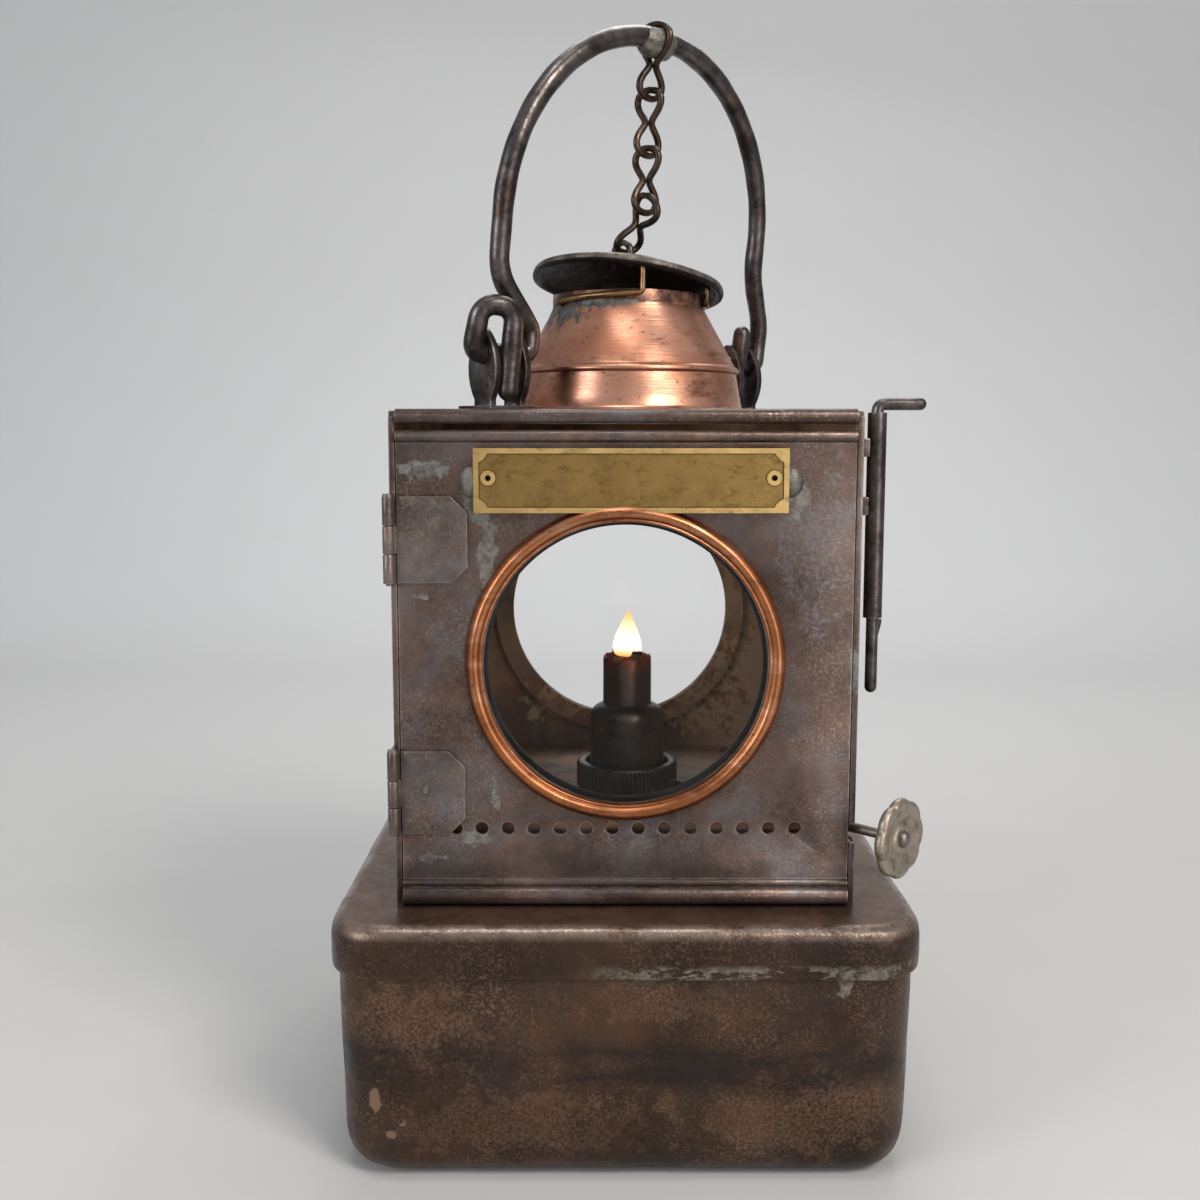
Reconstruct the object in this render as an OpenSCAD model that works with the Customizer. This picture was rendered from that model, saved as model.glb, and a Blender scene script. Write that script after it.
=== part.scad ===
// Railway lamp on a square oil tank, in millimetres.
// Z is up, X is to the right, the front faces -Y.
// The origin is the centre of the tank's underside.

/* [Tank] */
// Width and depth of the pan
tank_size = 160; // [130:0.5:200]
// Radius of the tank's upright corners
tank_corner = 14; // [6:0.5:30]
// Radius of the pan's bottom edge
tank_edge = 11; // [4:0.5:13]
// Height of the pan
pan_height = 72; // [40:0.5:110]
// Sheet thickness of pan and cover
tank_wall = 1.4; // [0.8:0.1:3]
// Gap between the pan and the cover's skirt
skirt_gap = 0.3; // [0.1:0.05:1]
// Height of the cover's skirt
skirt_height = 13; // [6:0.5:25]

/* [Housing] */
// Width of the housing, a 5 inch box
housing_width = 127; // [100:0.5:140]
// Distance of the housing's front face from the pan's front
front_step = 15.6; // [10:0.1:30]
// Distance of the housing's back face from the pan's back
back_step = 26.4; // [15:0.1:40]
// Height of the housing's walls above the cover
housing_height = 135.5; // [100:0.5:180]
// Thickness of the housing's walls
wall = 1.6; // [0.8:0.1:3]
// Thickness of the roof plate
roof_thick = 1.4; // [0.8:0.1:3]
// Height of the copper ring's lowest point above the cover
ring_above = 24.85; // [20:0.05:35]
// Distance of the copper ring's highest point below the walls' top
ring_below = 23.35; // [21:0.05:35]
// Height of the floor plate's top above the cover
floor_rise = 18; // [10:0.5:30]

/* [Door] */
// Thickness of the front panel
panel_thick = 1.2; // [0.8:0.1:3]
// Gap between the panel and the side walls
door_gap = 0.3; // [0.2:0.05:1]
// Number of air holes
air_holes = 14; // [2:1:16]
// Distance between air holes
air_pitch = 7.2; // [5:0.1:9]
// Radius of an air hole
air_r = 1.85; // [1:0.05:3]
// Radius of a hinge knuckle
knuckle_r = 1.6; // [1.3:0.1:3]
// Radius of a hinge pin
pin_r = 0.9; // [0.5:0.05:1.5]
// Clearance round a hinge pin in the door's knuckle
pin_clear = 0.06; // [0.02:0.01:0.2]
// Height of a hinge strap
strap_height = 23.4; // [15:0.1:30]
// Width of the copper ring
bezel_width = 4.85; // [4:0.05:6]
// Thickness of the glass
glass_thick = 2.4; // [1.5:0.1:4]
// Overlap of the glass behind the edge of its opening
glass_lap = 2.2; // [1.5:0.1:3]

/* [Chimney and cap] */
// X of the axis of chimney, burner and bail
axis_x = 1.6; // [-5:0.1:5]
// Y of the axis of chimney, burner and bail
axis_y = -5.3; // [-15:0.1:10]
// Radius of the collar at the roof
collar_r = 34.9; // [28:0.1:42]
// Radius of the chimney's neck
neck_r = 23; // [18:0.1:28]
// Height of the neck's top above the roof
neck_rise = 35.6; // [33:0.1:45]
// Radius of the cap
cap_r = 29.2; // [24:0.1:36]
// Height of the middle of the cap's rim above the neck's top
cap_rise = 3.2; // [2.8:0.1:8]
// Tilt of the cap, front up
cap_tilt = 9; // [0:0.5:15]
// Tilt of the cap, right side down
cap_roll = 6.4; // [0:0.2:15]
// Radius of the brass wire
leg_wire_r = 0.9; // [0.5:0.05:1.5]

/* [Bail and chain] */
// Radius of the bail rod
rod_r = 2.9; // [2:0.05:4]
// Radius of the bail's bearing in the lugs
journal_r = 2.95; // [2.05:0.05:4.05]
// Clearance of the bearing in a lug
journal_clear = 0.06; // [0.02:0.01:0.2]
// Height of the bail's pivot above the roof
pivot_rise = 16.1; // [15:0.1:20]
// Height of the bail's crown above its pivot
crown_h = 92.9; // [80:0.1:110]
// Lean of the bail at rest, toward the front right
bail_lean = 8; // [0:0.5:15]
// Half the width of the bail's arch
arch_r = 55; // [45:0.5:65]
// Radius of the chain's wire
chain_r = 1.05; // [0.7:0.05:1.5]
// Length of the chain beyond the straight line from the bail to its eye
chain_slack = 2.15; // [1:0.05:4]

/* [Burner and wick] */
// Radius of the knurled collar
burner_collar_r = 16; // [13:0.1:19]
// Number of flutes round the collar
knurls = 72; // [24:1:90]
// Radius of the burner's body
burner_body_r = 11.65; // [9:0.05:12]
// Radius of the wick tube
wick_tube_r = 7.6; // [6:0.1:9]
// Distance from the front face to where the wick shaft leaves the housing
shaft_exit = 5.9; // [5:0.1:12]
// Height of the wick shaft above the floor plate
shaft_rise = 3.1; // [2.9:0.1:6]
// Radius of the wick shaft
shaft_r = 1.4; // [1:0.05:2]
// Clearance of the wick shaft in its bush
shaft_clear = 0.06; // [0.02:0.01:0.2]
// Distance of the knob from the side wall, along the shaft
knob_out = 15.25; // [10:0.05:30]
// Radius of the knob
knob_r = 11.25; // [8:0.05:14]

/* [Drop bolt] */
// Distance of the bolt's axis from the side wall
bolt_gap = 5.4; // [4.5:0.1:10]
// Distance of the bolt's axis behind the front face
bolt_back = 10.4; // [7:0.1:25]
// Radius of the bolt's rod
bolt_r = 1.7; // [1:0.05:3]
// Clearance of the rod in its tube
bolt_clear = 0.06; // [0.02:0.01:0.2]
// Outer radius of the tube
bolt_tube_r = 2.6; // [2.2:0.05:4]

/* [Hidden] */
$fn = 96;

cover_z = pan_height + 1.5;
cover_inside = tank_size + 2 * skirt_gap;
cover_size = cover_inside + 2 * tank_wall;
half = housing_width / 2;
front_y = front_step - tank_size / 2;
back_y = tank_size / 2 - back_step;
wall_top = cover_z + housing_height;
roof_top = wall_top + roof_thick;
bezel_r = (housing_height - ring_above - ring_below) / 2;
window_z = cover_z + ring_above + bezel_r;
window_r = bezel_r - bezel_width;
glass_r = window_r + glass_lap;
panel_half = half - wall - door_gap;
panel_back = front_y + panel_thick;
floor_top = cover_z + floor_rise;
collar_z = floor_top + 0.3;
collar_top = floor_top + 9.5;
bush_r = shaft_r + 0.8;
tube_end = collar_top + 33.6;
shaft_z = floor_top + shaft_rise;
cone_z = roof_top + 11.6;
neck_top = roof_top + neck_rise;
cap_z = neck_top + cap_rise;
pivot_z = roof_top + pivot_rise;
rear_in = back_y - wall;
hinge_x = -half - 0.1;
hinge_y = front_y - knuckle_r - 0.3;
strap_up_z = wall_top - 44.7;
strap_low_z = cover_z + 21.1;
strap_up_x = 1.05 - bezel_r;
strap_low_x = -0.35 - bezel_r;
air_z = cover_z + 22.5;
strap_thick = 1;
strap_y = front_y - strap_thick;
plate_y = front_y - 2.5;
plate_thick = 1.2;
plate_x0 = -40.7;
plate_x1 = 43.3;
plate_z = wall_top - 25.7;
lug_thick = 2.2;
ear_base = 1.6;
left_in = -46.5;
left_out = -57.5;
chain_s = -2.2;
right_in = 48.6;
right_out = 57.8;
left_leg = left_in + lug_thick / 2 + 1.4 + rod_r;
curl = left_out - lug_thick / 2 - 0.5 - rod_r;
tail = left_out + lug_thick / 2 + 0.3 + rod_r;
right_leg = right_out + lug_thick / 2 + 0.4 + rod_r;
right_tip = right_out - lug_thick / 2 - 0.4 - rod_r;
waist = 0.15;
hook = 2 * chain_r + 0.3;
link_1_r = 5.55;
link_1_top = crown_h + rod_r - (link_1_r - chain_r);
eye_o = -0.3;
eye_z = cap_z + 9.3;
eye_r = 3.35;
staple_o = 0.2;
staple_z = eye_z + 0.4;

// The links get the size that makes the chain span from the bail to its eye
loops_top = link_1_top - link_1_r - 2 * waist;
loops_far = norm([loops_top * sin(bail_lean) - staple_o,
    loops_top * cos(bail_lean) + pivot_z - staple_z]);
loop_r = (loops_far + chain_slack - 6 * waist + 4 * chain_r + 0.35) / 13;
link_1_foot = loops_top - 2 * loop_r;
link_span = 4 * loop_r + 2 * waist;
link_step = link_span - 2 * chain_r - 0.05;

// The two parts of the chain hang as a triangle between bail and staple
upper_reach = 2 * link_span - 2 * chain_r - hook - 0.05;
lower_reach = link_span - loop_r;
foot_y = link_1_foot * sin(bail_lean) - staple_o;
foot_z = link_1_foot * cos(bail_lean) + pivot_z - staple_z;
foot_far = norm([foot_y, foot_z]);
foot_turn = atan2(foot_y, foot_z);
upper_tilt = foot_turn + 0.67 - acos(min(1, (pow(upper_reach, 2)
    + pow(foot_far, 2) - pow(lower_reach, 2)) / (2 * upper_reach * foot_far)));
link_4_tilt = foot_turn - 1.36 + acos(min(1, (pow(lower_reach, 2)
    + pow(foot_far, 2) - pow(upper_reach, 2)) / (2 * lower_reach * foot_far)));

wheel_r = 2.6;
wick_thick = 2;
shaft_shift = wheel_r + wick_thick / 2 + 0.08;
exit_x = half - axis_x;
exit_y = front_y + shaft_exit - axis_y;
shaft_angle = asin(shaft_shift / norm([exit_x, exit_y]))
    + atan2(-exit_y, exit_x);
knob_reach = knob_out
    + (exit_x - shaft_shift * sin(shaft_angle)) / cos(shaft_angle);
bolt_x = half + bolt_gap;
bolt_y = front_y + bolt_back;
tube_top = wall_top + 1;
tube_bottom = tube_top - 56.5;
bar_z = tube_top + 2.3;
rod_bottom = tube_bottom - 20.5;

// Plan shapes and solids that several pieces use

module rounded_plan(size, r) {
    square([size, size - 2 * r], center = true);
    square([size - 2 * r, size], center = true);
    for (x = [-1, 1]) {
        for (y = [-1, 1]) {
            translate([x * (size / 2 - r), y * (size / 2 - r)])
                circle(r = r);
        }
    }
}

module basin_profile(size, h, r) {
    translate([-size / 2, r]) square([size, h - r]);
    translate([r - size / 2, 0]) square([size - 2 * r, h]);
    for (x = [-1, 1]) {
        translate([x * (size / 2 - r), r]) circle(r = r);
    }
}

module basin(size, h, corner, edge) {
    intersection() {
        linear_extrude(h) rounded_plan(size, corner);
        rotate([90, 0, 0]) linear_extrude(size + 4, center = true)
            basin_profile(size, h, edge);
        rotate([90, 0, 90]) linear_extrude(size + 4, center = true)
            basin_profile(size, h, edge);
    }
}

module block(x0, x1, y0, y1, z0, z1) {
    translate([x0, y0, z0]) cube([x1 - x0, y1 - y0, z1 - z0]);
}

module rod_z(r, z0, z1) {
    translate([0, 0, z0]) cylinder(r = r, h = z1 - z0);
}

module disc_y(r, y0, y1, x = 0, z = 0) {
    translate([x, y1, z]) rotate([90, 0, 0]) cylinder(r = r, h = y1 - y0);
}

module rod_x(r, x0, x1, y = 0, z = 0) {
    translate([x0, y, z]) rotate([0, 90, 0]) cylinder(r = r, h = x1 - x0);
}

// Bent rods: a path with rounded corners, and a round section along it

function unit(v) = v / norm(v);

function corner(a, p, b, r, n) = let (
    u = unit(a - p),
    v = unit(b - p),
    h = acos(max(-1, min(1, u * v))) / 2,
    t = r / tan(h),
    c = p + unit(u + v) * (r / sin(h)),
    w = unit(p + u * t - c),
    e = unit(p + v * t - c),
    q = unit(e - w * (w * e)),
    turn = 180 - 2 * h
) [for (i = [0 : n]) c + r * (w * cos(turn * i / n) + q * sin(turn * i / n))];

function bent(p, r, n) = let (last = len(p) - 1) concat(
    [p[0]],
    [for (i = [1 : last - 1])
        each corner(p[i - 1], p[i], p[i + 1], r[i - 1], r[i - 1] > 40 ? 3 * n : n)],
    [p[last]]
);

function tangents(p) = let (last = len(p) - 1) [
    for (i = [0 : last])
        unit(unit(p[min(i + 1, last)] - p[max(min(i, last - 1), 0)])
            + unit(p[max(i, 1)] - p[max(i - 1, 0)]))
];

function normals(t, n0) = [
    for (i = 0, n = unit(n0 - t[0] * (n0 * t[0]));
        i < len(t);
        i = i + 1,
        n = i < len(t) ? unit(n - t[i] * (n * t[i])) : n) n
];

module swept(p, r, n0, sides = 16) {
    t = tangents(p);
    m = normals(t, n0);
    count = len(p);
    rings = [
        for (i = [0 : count - 1]) for (k = [0 : sides - 1])
            p[i] + r * (m[i] * cos(360 * k / sides)
                + cross(t[i], m[i]) * sin(360 * k / sides))
    ];
    sidefaces = [
        for (i = [0 : count - 2]) for (k = [0 : sides - 1]) [
            i * sides + k,
            (i + 1) * sides + k,
            (i + 1) * sides + (k + 1) % sides,
            i * sides + (k + 1) % sides
        ]
    ];
    caps = [
        [for (k = [0 : sides - 1]) k],
        [for (k = [sides - 1 : -1 : 0]) (count - 1) * sides + k]
    ];
    polyhedron(points = rings, faces = concat(sidefaces, caps), convexity = 8);
}

// Tank

module tank_pan() {
    color("#4a403a") difference() {
        basin(tank_size, pan_height, tank_corner, tank_edge);
        translate([0, 0, tank_wall]) basin(
            tank_size - 2 * tank_wall, pan_height,
            tank_corner - tank_wall, tank_edge - tank_wall);
    }
}

module tank_cover() {
    color("#4a403a") difference() {
        translate([0, 0, cover_z]) mirror([0, 0, 1])
            basin(cover_size, skirt_height + 1.5, tank_corner + 1.7, 3.5);
        translate([0, 0, pan_height - skirt_height - 1])
            linear_extrude(skirt_height + 1)
                rounded_plan(cover_inside, tank_corner + skirt_gap);
        translate([axis_x, axis_y, 0]) rod_z(12, pan_height - 1, cover_z + 1);
    }
}

module burner_neck() {
    color("#5a4a36") translate([axis_x, axis_y, 0]) difference() {
        union() {
            rod_z(19, cover_z, cover_z + 1.5);
            rod_z(14, cover_z, collar_z);
        }
        rod_z(12, cover_z - 1, floor_top + 2);
    }
}

// Housing

module inner_floor() {
    color("#43362d") difference() {
        block(wall - half, half - wall, panel_back + 0.5, rear_in,
            floor_top - 1.2, floor_top);
        translate([axis_x, axis_y, 0]) rod_z(14.3, floor_top - 2, floor_top + 1);
    }
}

module floor_rivets() {
    color("#5e554c") for (x = [-27.4, 37.3]) {
        translate([x, back_y - 9.6, floor_top]) cylinder(r1 = 2, r2 = 1.3, h = 0.9);
    }
}

module side_wall_left() {
    color("#4a3f38")
        block(-half, wall - half, front_y, back_y, cover_z, wall_top);
}

module side_wall_right() {
    color("#4a3f38") difference() {
        block(half - wall, half, front_y, back_y, cover_z, wall_top);
        block(half - 3, half + 1, front_y - 1, front_y + shaft_exit + 3.6,
            shaft_z - 2.6, shaft_z + 2.6);
    }
}

module back_wall() {
    color("#4a3f38") difference() {
        block(wall - half, half - wall, rear_in, back_y, cover_z, wall_top);
        disc_y(window_r - 0.8, rear_in - 1, back_y + 1, 0, window_z);
    }
}

module roof_plate() {
    color("#4a3f38") difference() {
        union() {
            block(-half, half, front_y + 1, back_y, wall_top, roof_top);
            rod_x(2, wall - half + 0.3, half - wall - 0.3,
                front_y + 0.6, wall_top - 0.1);
        }
        translate([axis_x, axis_y, 0]) rod_z(collar_r - 2.3, wall_top - 1, roof_top + 1);
        block(-half - 1, half + 1, front_y + 1, front_y + 5,
            wall_top - 4, wall_top);
    }
}

module glass_disc(y0) {
    disc_y(glass_r, y0, y0 + glass_thick, 0, window_z);
}

module keeper_ring() {
    rotate_extrude() polygon([
        [glass_r + 0.1, 0], [glass_r + 3, 0],
        [glass_r + 3, glass_thick + 1], [window_r - 1, glass_thick + 1],
        [window_r - 1, glass_thick], [glass_r + 0.1, glass_thick]
    ]);
}

module rear_glass() {
    color("#9fb0b4", 0.5) glass_disc(rear_in - glass_thick);
}

module rear_ring() {
    color("#8f8272") translate([0, rear_in, window_z])
        rotate([90, 0, 0]) keeper_ring();
}

// Chimney and cap

module chimney_collar() {
    color("#b5683f") translate([axis_x, axis_y, 0]) rotate_extrude() polygon([
        [collar_r - 1.9, roof_top], [collar_r + 1.8, roof_top],
        [collar_r + 1.7, roof_top + 0.7], [collar_r + 0.5, roof_top + 1.3],
        [collar_r, roof_top + 2], [collar_r - 1.7, cone_z],
        [collar_r - 2.9, cone_z], [collar_r - 1.2, roof_top + 2]
    ]);
}

module chimney_cone() {
    r = collar_r - 1.7;
    n = neck_r;
    drop = r - n;
    rise = neck_rise - 15.3;
    color("#b5683f") translate([axis_x, axis_y, cone_z]) rotate_extrude() polygon([
        [r, 0], [r + 0.55, 0.3], [r + 0.75, 0.9], [r + 0.65, 1.5],
        [r + 0.1, 2], [r - 0.5, 2.5], [r - 1.3, 4],
        [r - 0.294 * drop, 0.345 * rise], [r - 0.48 * drop, 0.507 * rise],
        [r - 0.667 * drop, 0.67 * rise], [r - 0.843 * drop, 0.828 * rise],
        [r - 0.941 * drop, 0.931 * rise], [n, rise], [n, rise + 3.7],
        [n - 1, rise + 3.7], [n - 1, rise - 0.2],
        [r - 1.03 * drop, 0.916 * rise], [r - 0.931 * drop, 0.808 * rise],
        [r - 0.755 * drop, 0.65 * rise], [r - 0.569 * drop, 0.488 * rise],
        [r - 0.382 * drop, 0.325 * rise], [r - 2.1, 3.4],
        [r - 1.2, 1.6], [r - 1.2, 0]
    ]);
}

function cap_point(x, y) = [x, y, cap_z + 0.1 - y * sin(cap_tilt)
    - x * sin(cap_roll)];

function ring_point(a, z) = [(neck_r + leg_wire_r + 0.05) * cos(a),
    (neck_r + leg_wire_r + 0.05) * sin(a), z];

module wire_leg(a0, a1, z0, z1, out) {
    foot = [for (i = [0 : 24]) let (f = i / 24)
        ring_point(a0 + (a1 - a0) * f, z0 + (z1 - z0) * f)];
    top = (neck_r + out) * [cos(a1), sin(a1)];
    rise = bent([foot[22], foot[24], cap_point(top.x, top.y)], [1.4], 6);
    swept(concat([for (i = [0 : 21]) foot[i]], rise), leg_wire_r,
        [0, 0, 1], 12);
}

module chimney_wires() {
    color("#8d7342") translate([axis_x, axis_y, 0]) {
        wire_leg(205, 279, neck_top - 2.8, neck_top - 1.1, 1.5);
        wire_leg(10, -14, neck_top - 2.6, neck_top - 3.2, 1.6);
        wire_leg(140, 112, neck_top - 2.6, neck_top - 3.2, 1.6);
    }
}

module cap_frame() {
    translate([axis_x, axis_y, cap_z]) rotate([-cap_tilt, cap_roll, 0]) children();
}

module chimney_cap() {
    color("#3a3330") cap_frame() rotate_extrude() polygon([
        [0, 7.2], [5, 7], [10, 6.5], [15, 5.5], [20, 4], [24, 2.4],
        [cap_r - 2.6, 1.2], [cap_r - 0.9, 1.35], [cap_r - 0.2, 0.8], [cap_r, 0],
        [cap_r - 0.2, -0.8], [cap_r - 0.9, -1.35],
        [cap_r - 2.6, -1.1], [cap_r - 3.3, 0], [23.8, 1.2], [19.8, 2.9], [14.9, 4.4], [10, 5.4],
        [5, 5.9], [0, 6.1]
    ]);
}

// The bail's frame: X along the pivot, -Y toward the front right

module bail_frame(lean = 0, s = 0) {
    translate([axis_x, axis_y, pivot_z]) rotate([0, 0, 45])
        rotate([lean, 0, 0]) translate([s, 0, 0]) children();
}

module cap_staple() {
    rise = eye_z - pivot_z;
    ends = [
        for (i = [0 : 20]) [0, -eye_o + eye_r * cos(180 * i / 20),
            rise + eye_r * sin(180 * i / 20)]
    ];
    color("#4a3c30") difference() {
        union() {
            bail_frame(0, chain_s) swept(concat(
                [[0, -eye_o + eye_r, rise - 8]], ends,
                [[0, -eye_o - eye_r, rise - 8]]), chain_r, [1, 0, 0], 14);
            cap_frame() translate([0, 0, 6.2]) cylinder(r = 6.2, h = 1.3);
        }
        cap_frame() rotate_extrude() polygon([
            [0, -6], [14, -6], [14, 5.75], [10, 6.52], [5, 7.02], [0, 7.22]
        ]);
    }
}

module leaf(hole) {
    difference() {
        union() {
            intersection() {
                translate([-9, pivot_rise - 4.5]) circle(r = 15);
                translate([9, pivot_rise - 4.5]) circle(r = 15);
                translate([-7, 0]) square([14, pivot_rise + 6.9]);
            }
            translate([-3.6, 0]) square([7.2, 7]);
        }
        translate([0, pivot_rise]) circle(r = hole);
    }
}

module lug(s) {
    translate([s - lug_thick / 2, 0, 0]) rotate([90, 0, 90])
        linear_extrude(lug_thick) leaf(journal_r + journal_clear);
}

module ear(s0, s1) {
    translate([axis_x, axis_y, roof_top]) rotate([0, 0, 45]) {
        translate([min(s0, s1) - 4, -7, 0])
            cube([abs(s1 - s0) + 8, 14, ear_base]);
        lug(s0);
        lug(s1);
    }
}

module ear_left() {
    color("#453b35") ear(left_out, left_in);
}

module ear_right() {
    color("#453b35") ear(right_in, right_out);
}

module ear_rivets() {
    color("#5a5048") translate([axis_x, axis_y, roof_top + ear_base])
        rotate([0, 0, 45])
        for (s = [(left_in + left_out) / 2, (right_in + right_out) / 2]) {
            for (o = [-5, 5]) {
                translate([s, o, 0]) cylinder(r1 = 1.7, r2 = 1.1, h = 0.7);
            }
        }
}

// Hinges and door

module door_frame_at(x, y) {
    translate([x, y, 0]) children();
}

module knuckle(z0, z1, bore) {
    difference() {
        door_frame_at(hinge_x, hinge_y) rod_z(knuckle_r, z0, z1);
        door_frame_at(hinge_x, hinge_y) rod_z(bore, z0 - 1, z1 + 1);
    }
}

module hinge_leaf(z0) {
    step = strap_height / 3;
    difference() {
        union() {
            block(-half - 1.2, -half, front_y + 0.2, front_y + 15,
                z0, z0 + strap_height);
            for (k = [0, 2]) {
                block(-half - 1.2, -half, hinge_y, front_y + 0.3,
                    z0 + k * step, z0 + k * step + step);
                door_frame_at(hinge_x, hinge_y)
                    rod_z(knuckle_r, z0 + k * step, z0 + k * step + step);
            }
        }
        door_frame_at(hinge_x, hinge_y)
            rod_z(pin_r, z0 - 1, z0 + strap_height + 1);
    }
}

module hinge_leaf_upper() {
    color("#4a3f38") hinge_leaf(strap_up_z);
}

module hinge_leaf_lower() {
    color("#4a3f38") hinge_leaf(strap_low_z);
}

module hinge_pins() {
    color("#6a6058") for (z = [strap_up_z, strap_low_z]) {
        translate([hinge_x, hinge_y, 0]) {
            rod_z(pin_r, z - 0.6, z + strap_height);
            rod_z(1.4, z + strap_height, z + strap_height + 0.7);
        }
    }
}

module strap(z0, x1) {
    step = strap_height / 3;
    cut = 4.5;
    left = hinge_x + knuckle_r + 0.4;
    difference() {
        union() {
            translate([0, front_y, 0]) rotate([90, 0, 0])
                linear_extrude(strap_thick) polygon([
                    [left, z0], [x1 - cut, z0], [x1, z0 + cut],
                    [x1, z0 + strap_height - cut],
                    [x1 - cut, z0 + strap_height], [left, z0 + strap_height]
                ]);
            block(hinge_x, left + 1, strap_y, front_y - 0.3,
                z0 + step + 0.2, z0 + 2 * step - 0.2);
            door_frame_at(hinge_x, hinge_y)
                rod_z(knuckle_r, z0 + step + 0.2, z0 + 2 * step - 0.2);
        }
        door_frame_at(hinge_x, hinge_y)
            rod_z(pin_r + pin_clear, z0 - 1, z0 + strap_height + 1);
    }
}

module strap_upper() {
    color("#4e4440") strap(strap_up_z, strap_up_x);
}

module strap_lower() {
    color("#4e4440") strap(strap_low_z, strap_low_x);
}

module strap_rivet() {
    color("#6a6058") translate([8.5 - half, strap_y, strap_low_z + 12.4])
        rotate([90, 0, 0])
        cylinder(r1 = 1.2, r2 = 0.8, h = 0.6);
}

module front_panel() {
    first = -air_pitch * (air_holes - 1) / 2;
    color("#4e423b") difference() {
        union() {
            block(-panel_half, panel_half, front_y, panel_back,
                cover_z + 1.5, wall_top - 5);
            rod_x(1.7, -panel_half, panel_half, front_y + 0.4,
                wall_top - 5.4);
            rod_x(2.6, -panel_half, panel_half, front_y + 0.5,
                cover_z + 3.4);
            rod_x(1.2, -panel_half, panel_half, front_y + 0.35,
                cover_z + 6.9);
        }
        disc_y(window_r, front_y - 4, panel_back + 4, 0, window_z);
        for (k = [0 : air_holes - 1]) {
            disc_y(air_r, front_y - 4, panel_back + 4,
                first + air_pitch * k, air_z);
        }
    }
}

module nameplate() {
    x0 = plate_x0;
    x1 = plate_x1;
    z0 = plate_z;
    z1 = plate_z + 17.2;
    edge = 1.4;
    holes = [x0 + 3.9, x1 - 3.9];
    color("#a5854a") difference() {
        block(x0, x1, plate_y, plate_y + plate_thick, z0, z1);
        difference() {
            block(x0 + edge, x1 - edge, plate_y - 1, plate_y + 0.5,
                z0 + edge, z1 - edge);
            for (x = [x0, x1]) {
                for (z = [z0, z1]) {
                    disc_y(4, plate_y - 2, plate_y + 1, x, z);
                }
            }
            for (x = holes) {
                disc_y(2, plate_y - 2, plate_y + 1, x, z0 + 9.3);
            }
        }
        for (x = holes) {
            disc_y(0.8, plate_y - 1, plate_y + 2, x, z0 + 9.3);
        }
    }
}

module plate_solder() {
    color("#8c8a80") difference() {
        for (x = [plate_x0 - 0.9, plate_x1 + 0.9]) {
            translate([x, front_y, plate_z + 8.2]) scale([3.2, 2.4, 4.2])
                sphere(r = 1, $fn = 24);
        }
        block(plate_x0, plate_x1, front_y - 9, front_y + 9,
            plate_z - 3, plate_z + 21);
        block(plate_x0 - 19, plate_x1 + 17, front_y, front_y + 9,
            plate_z - 3, plate_z + 21);
    }
}

module front_bezel() {
    color("#b8693d") translate([0, front_y, window_z]) rotate([90, 0, 0])
        rotate_extrude() polygon([
            [window_r, 0], [bezel_r, 0], [bezel_r, 0.7],
            [bezel_r - 0.4, 1.1], [bezel_r - 2.2, 1.1],
            [bezel_r - 2.7, 1.7], [bezel_r - 2.9, 2.6],
            [bezel_r - 3.5, 3.2], [window_r + 0.7, 3.2],
            [window_r + 0.1, 2.6]
        ]);
}

module front_glass() {
    color("#9fb0b4", 0.5) glass_disc(panel_back);
}

module glass_ring() {
    color("#6e5642") translate([0, panel_back, window_z])
        rotate([-90, 0, 0]) keeper_ring();
}

// Drop bolt

module bolt_at() {
    translate([bolt_x, bolt_y, 0]) children();
}

module bolt_tube() {
    color("#4a403a") bolt_at() difference() {
        rod_z(bolt_tube_r, tube_bottom, tube_top);
        rod_z(bolt_r + bolt_clear, tube_bottom - 1, tube_top + 1);
        rotate([0, 0, 40]) translate([0, -0.9, tube_bottom - 1])
            cube([bolt_tube_r + 1, 1.8, 24]);
    }
}

module bolt_brackets() {
    color("#4a403a") difference() {
        for (z = [tube_top - 28, tube_top - 12]) {
            block(half, bolt_x - 1, bolt_y - 1.6, bolt_y + 1.6, z, z + 5);
        }
        bolt_at() rod_z(bolt_tube_r, tube_top - 40, tube_top - 5);
    }
}

module bolt_rod() {
    path = bent([[0, 0, tube_top - 1], [0, 0, bar_z], [11.8, 0, bar_z]],
        [1.75], 8);
    color("#584d46") bolt_at() {
        rod_z(bolt_r, rod_bottom, tube_top + 0.4);
        swept(path, bolt_r - 0.03, [0, 1, 0], 24);
        translate([11.8, 0, bar_z]) sphere(r = bolt_r);
    }
}

module bolt_tang() {
    color("#584d46") bolt_at() difference() {
        rotate([0, 0, 40]) rotate([90, 0, 0])
            linear_extrude(1.2, center = true) polygon([
                [1, tube_bottom - 7.8], [bolt_r + 1.7, tube_bottom - 1.9],
                [bolt_r + 1.7, tube_bottom - 0.7], [1, tube_bottom - 0.7]
            ]);
        rod_z(bolt_r, tube_bottom - 13, tube_bottom + 6);
    }
}

// Burner, wick and wick drive

module shaft_frame() {
    translate([axis_x, axis_y, shaft_z]) rotate([0, 0, -shaft_angle])
        translate([0, shaft_shift, 0]) rotate([0, 90, 0]) children();
}

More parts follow.
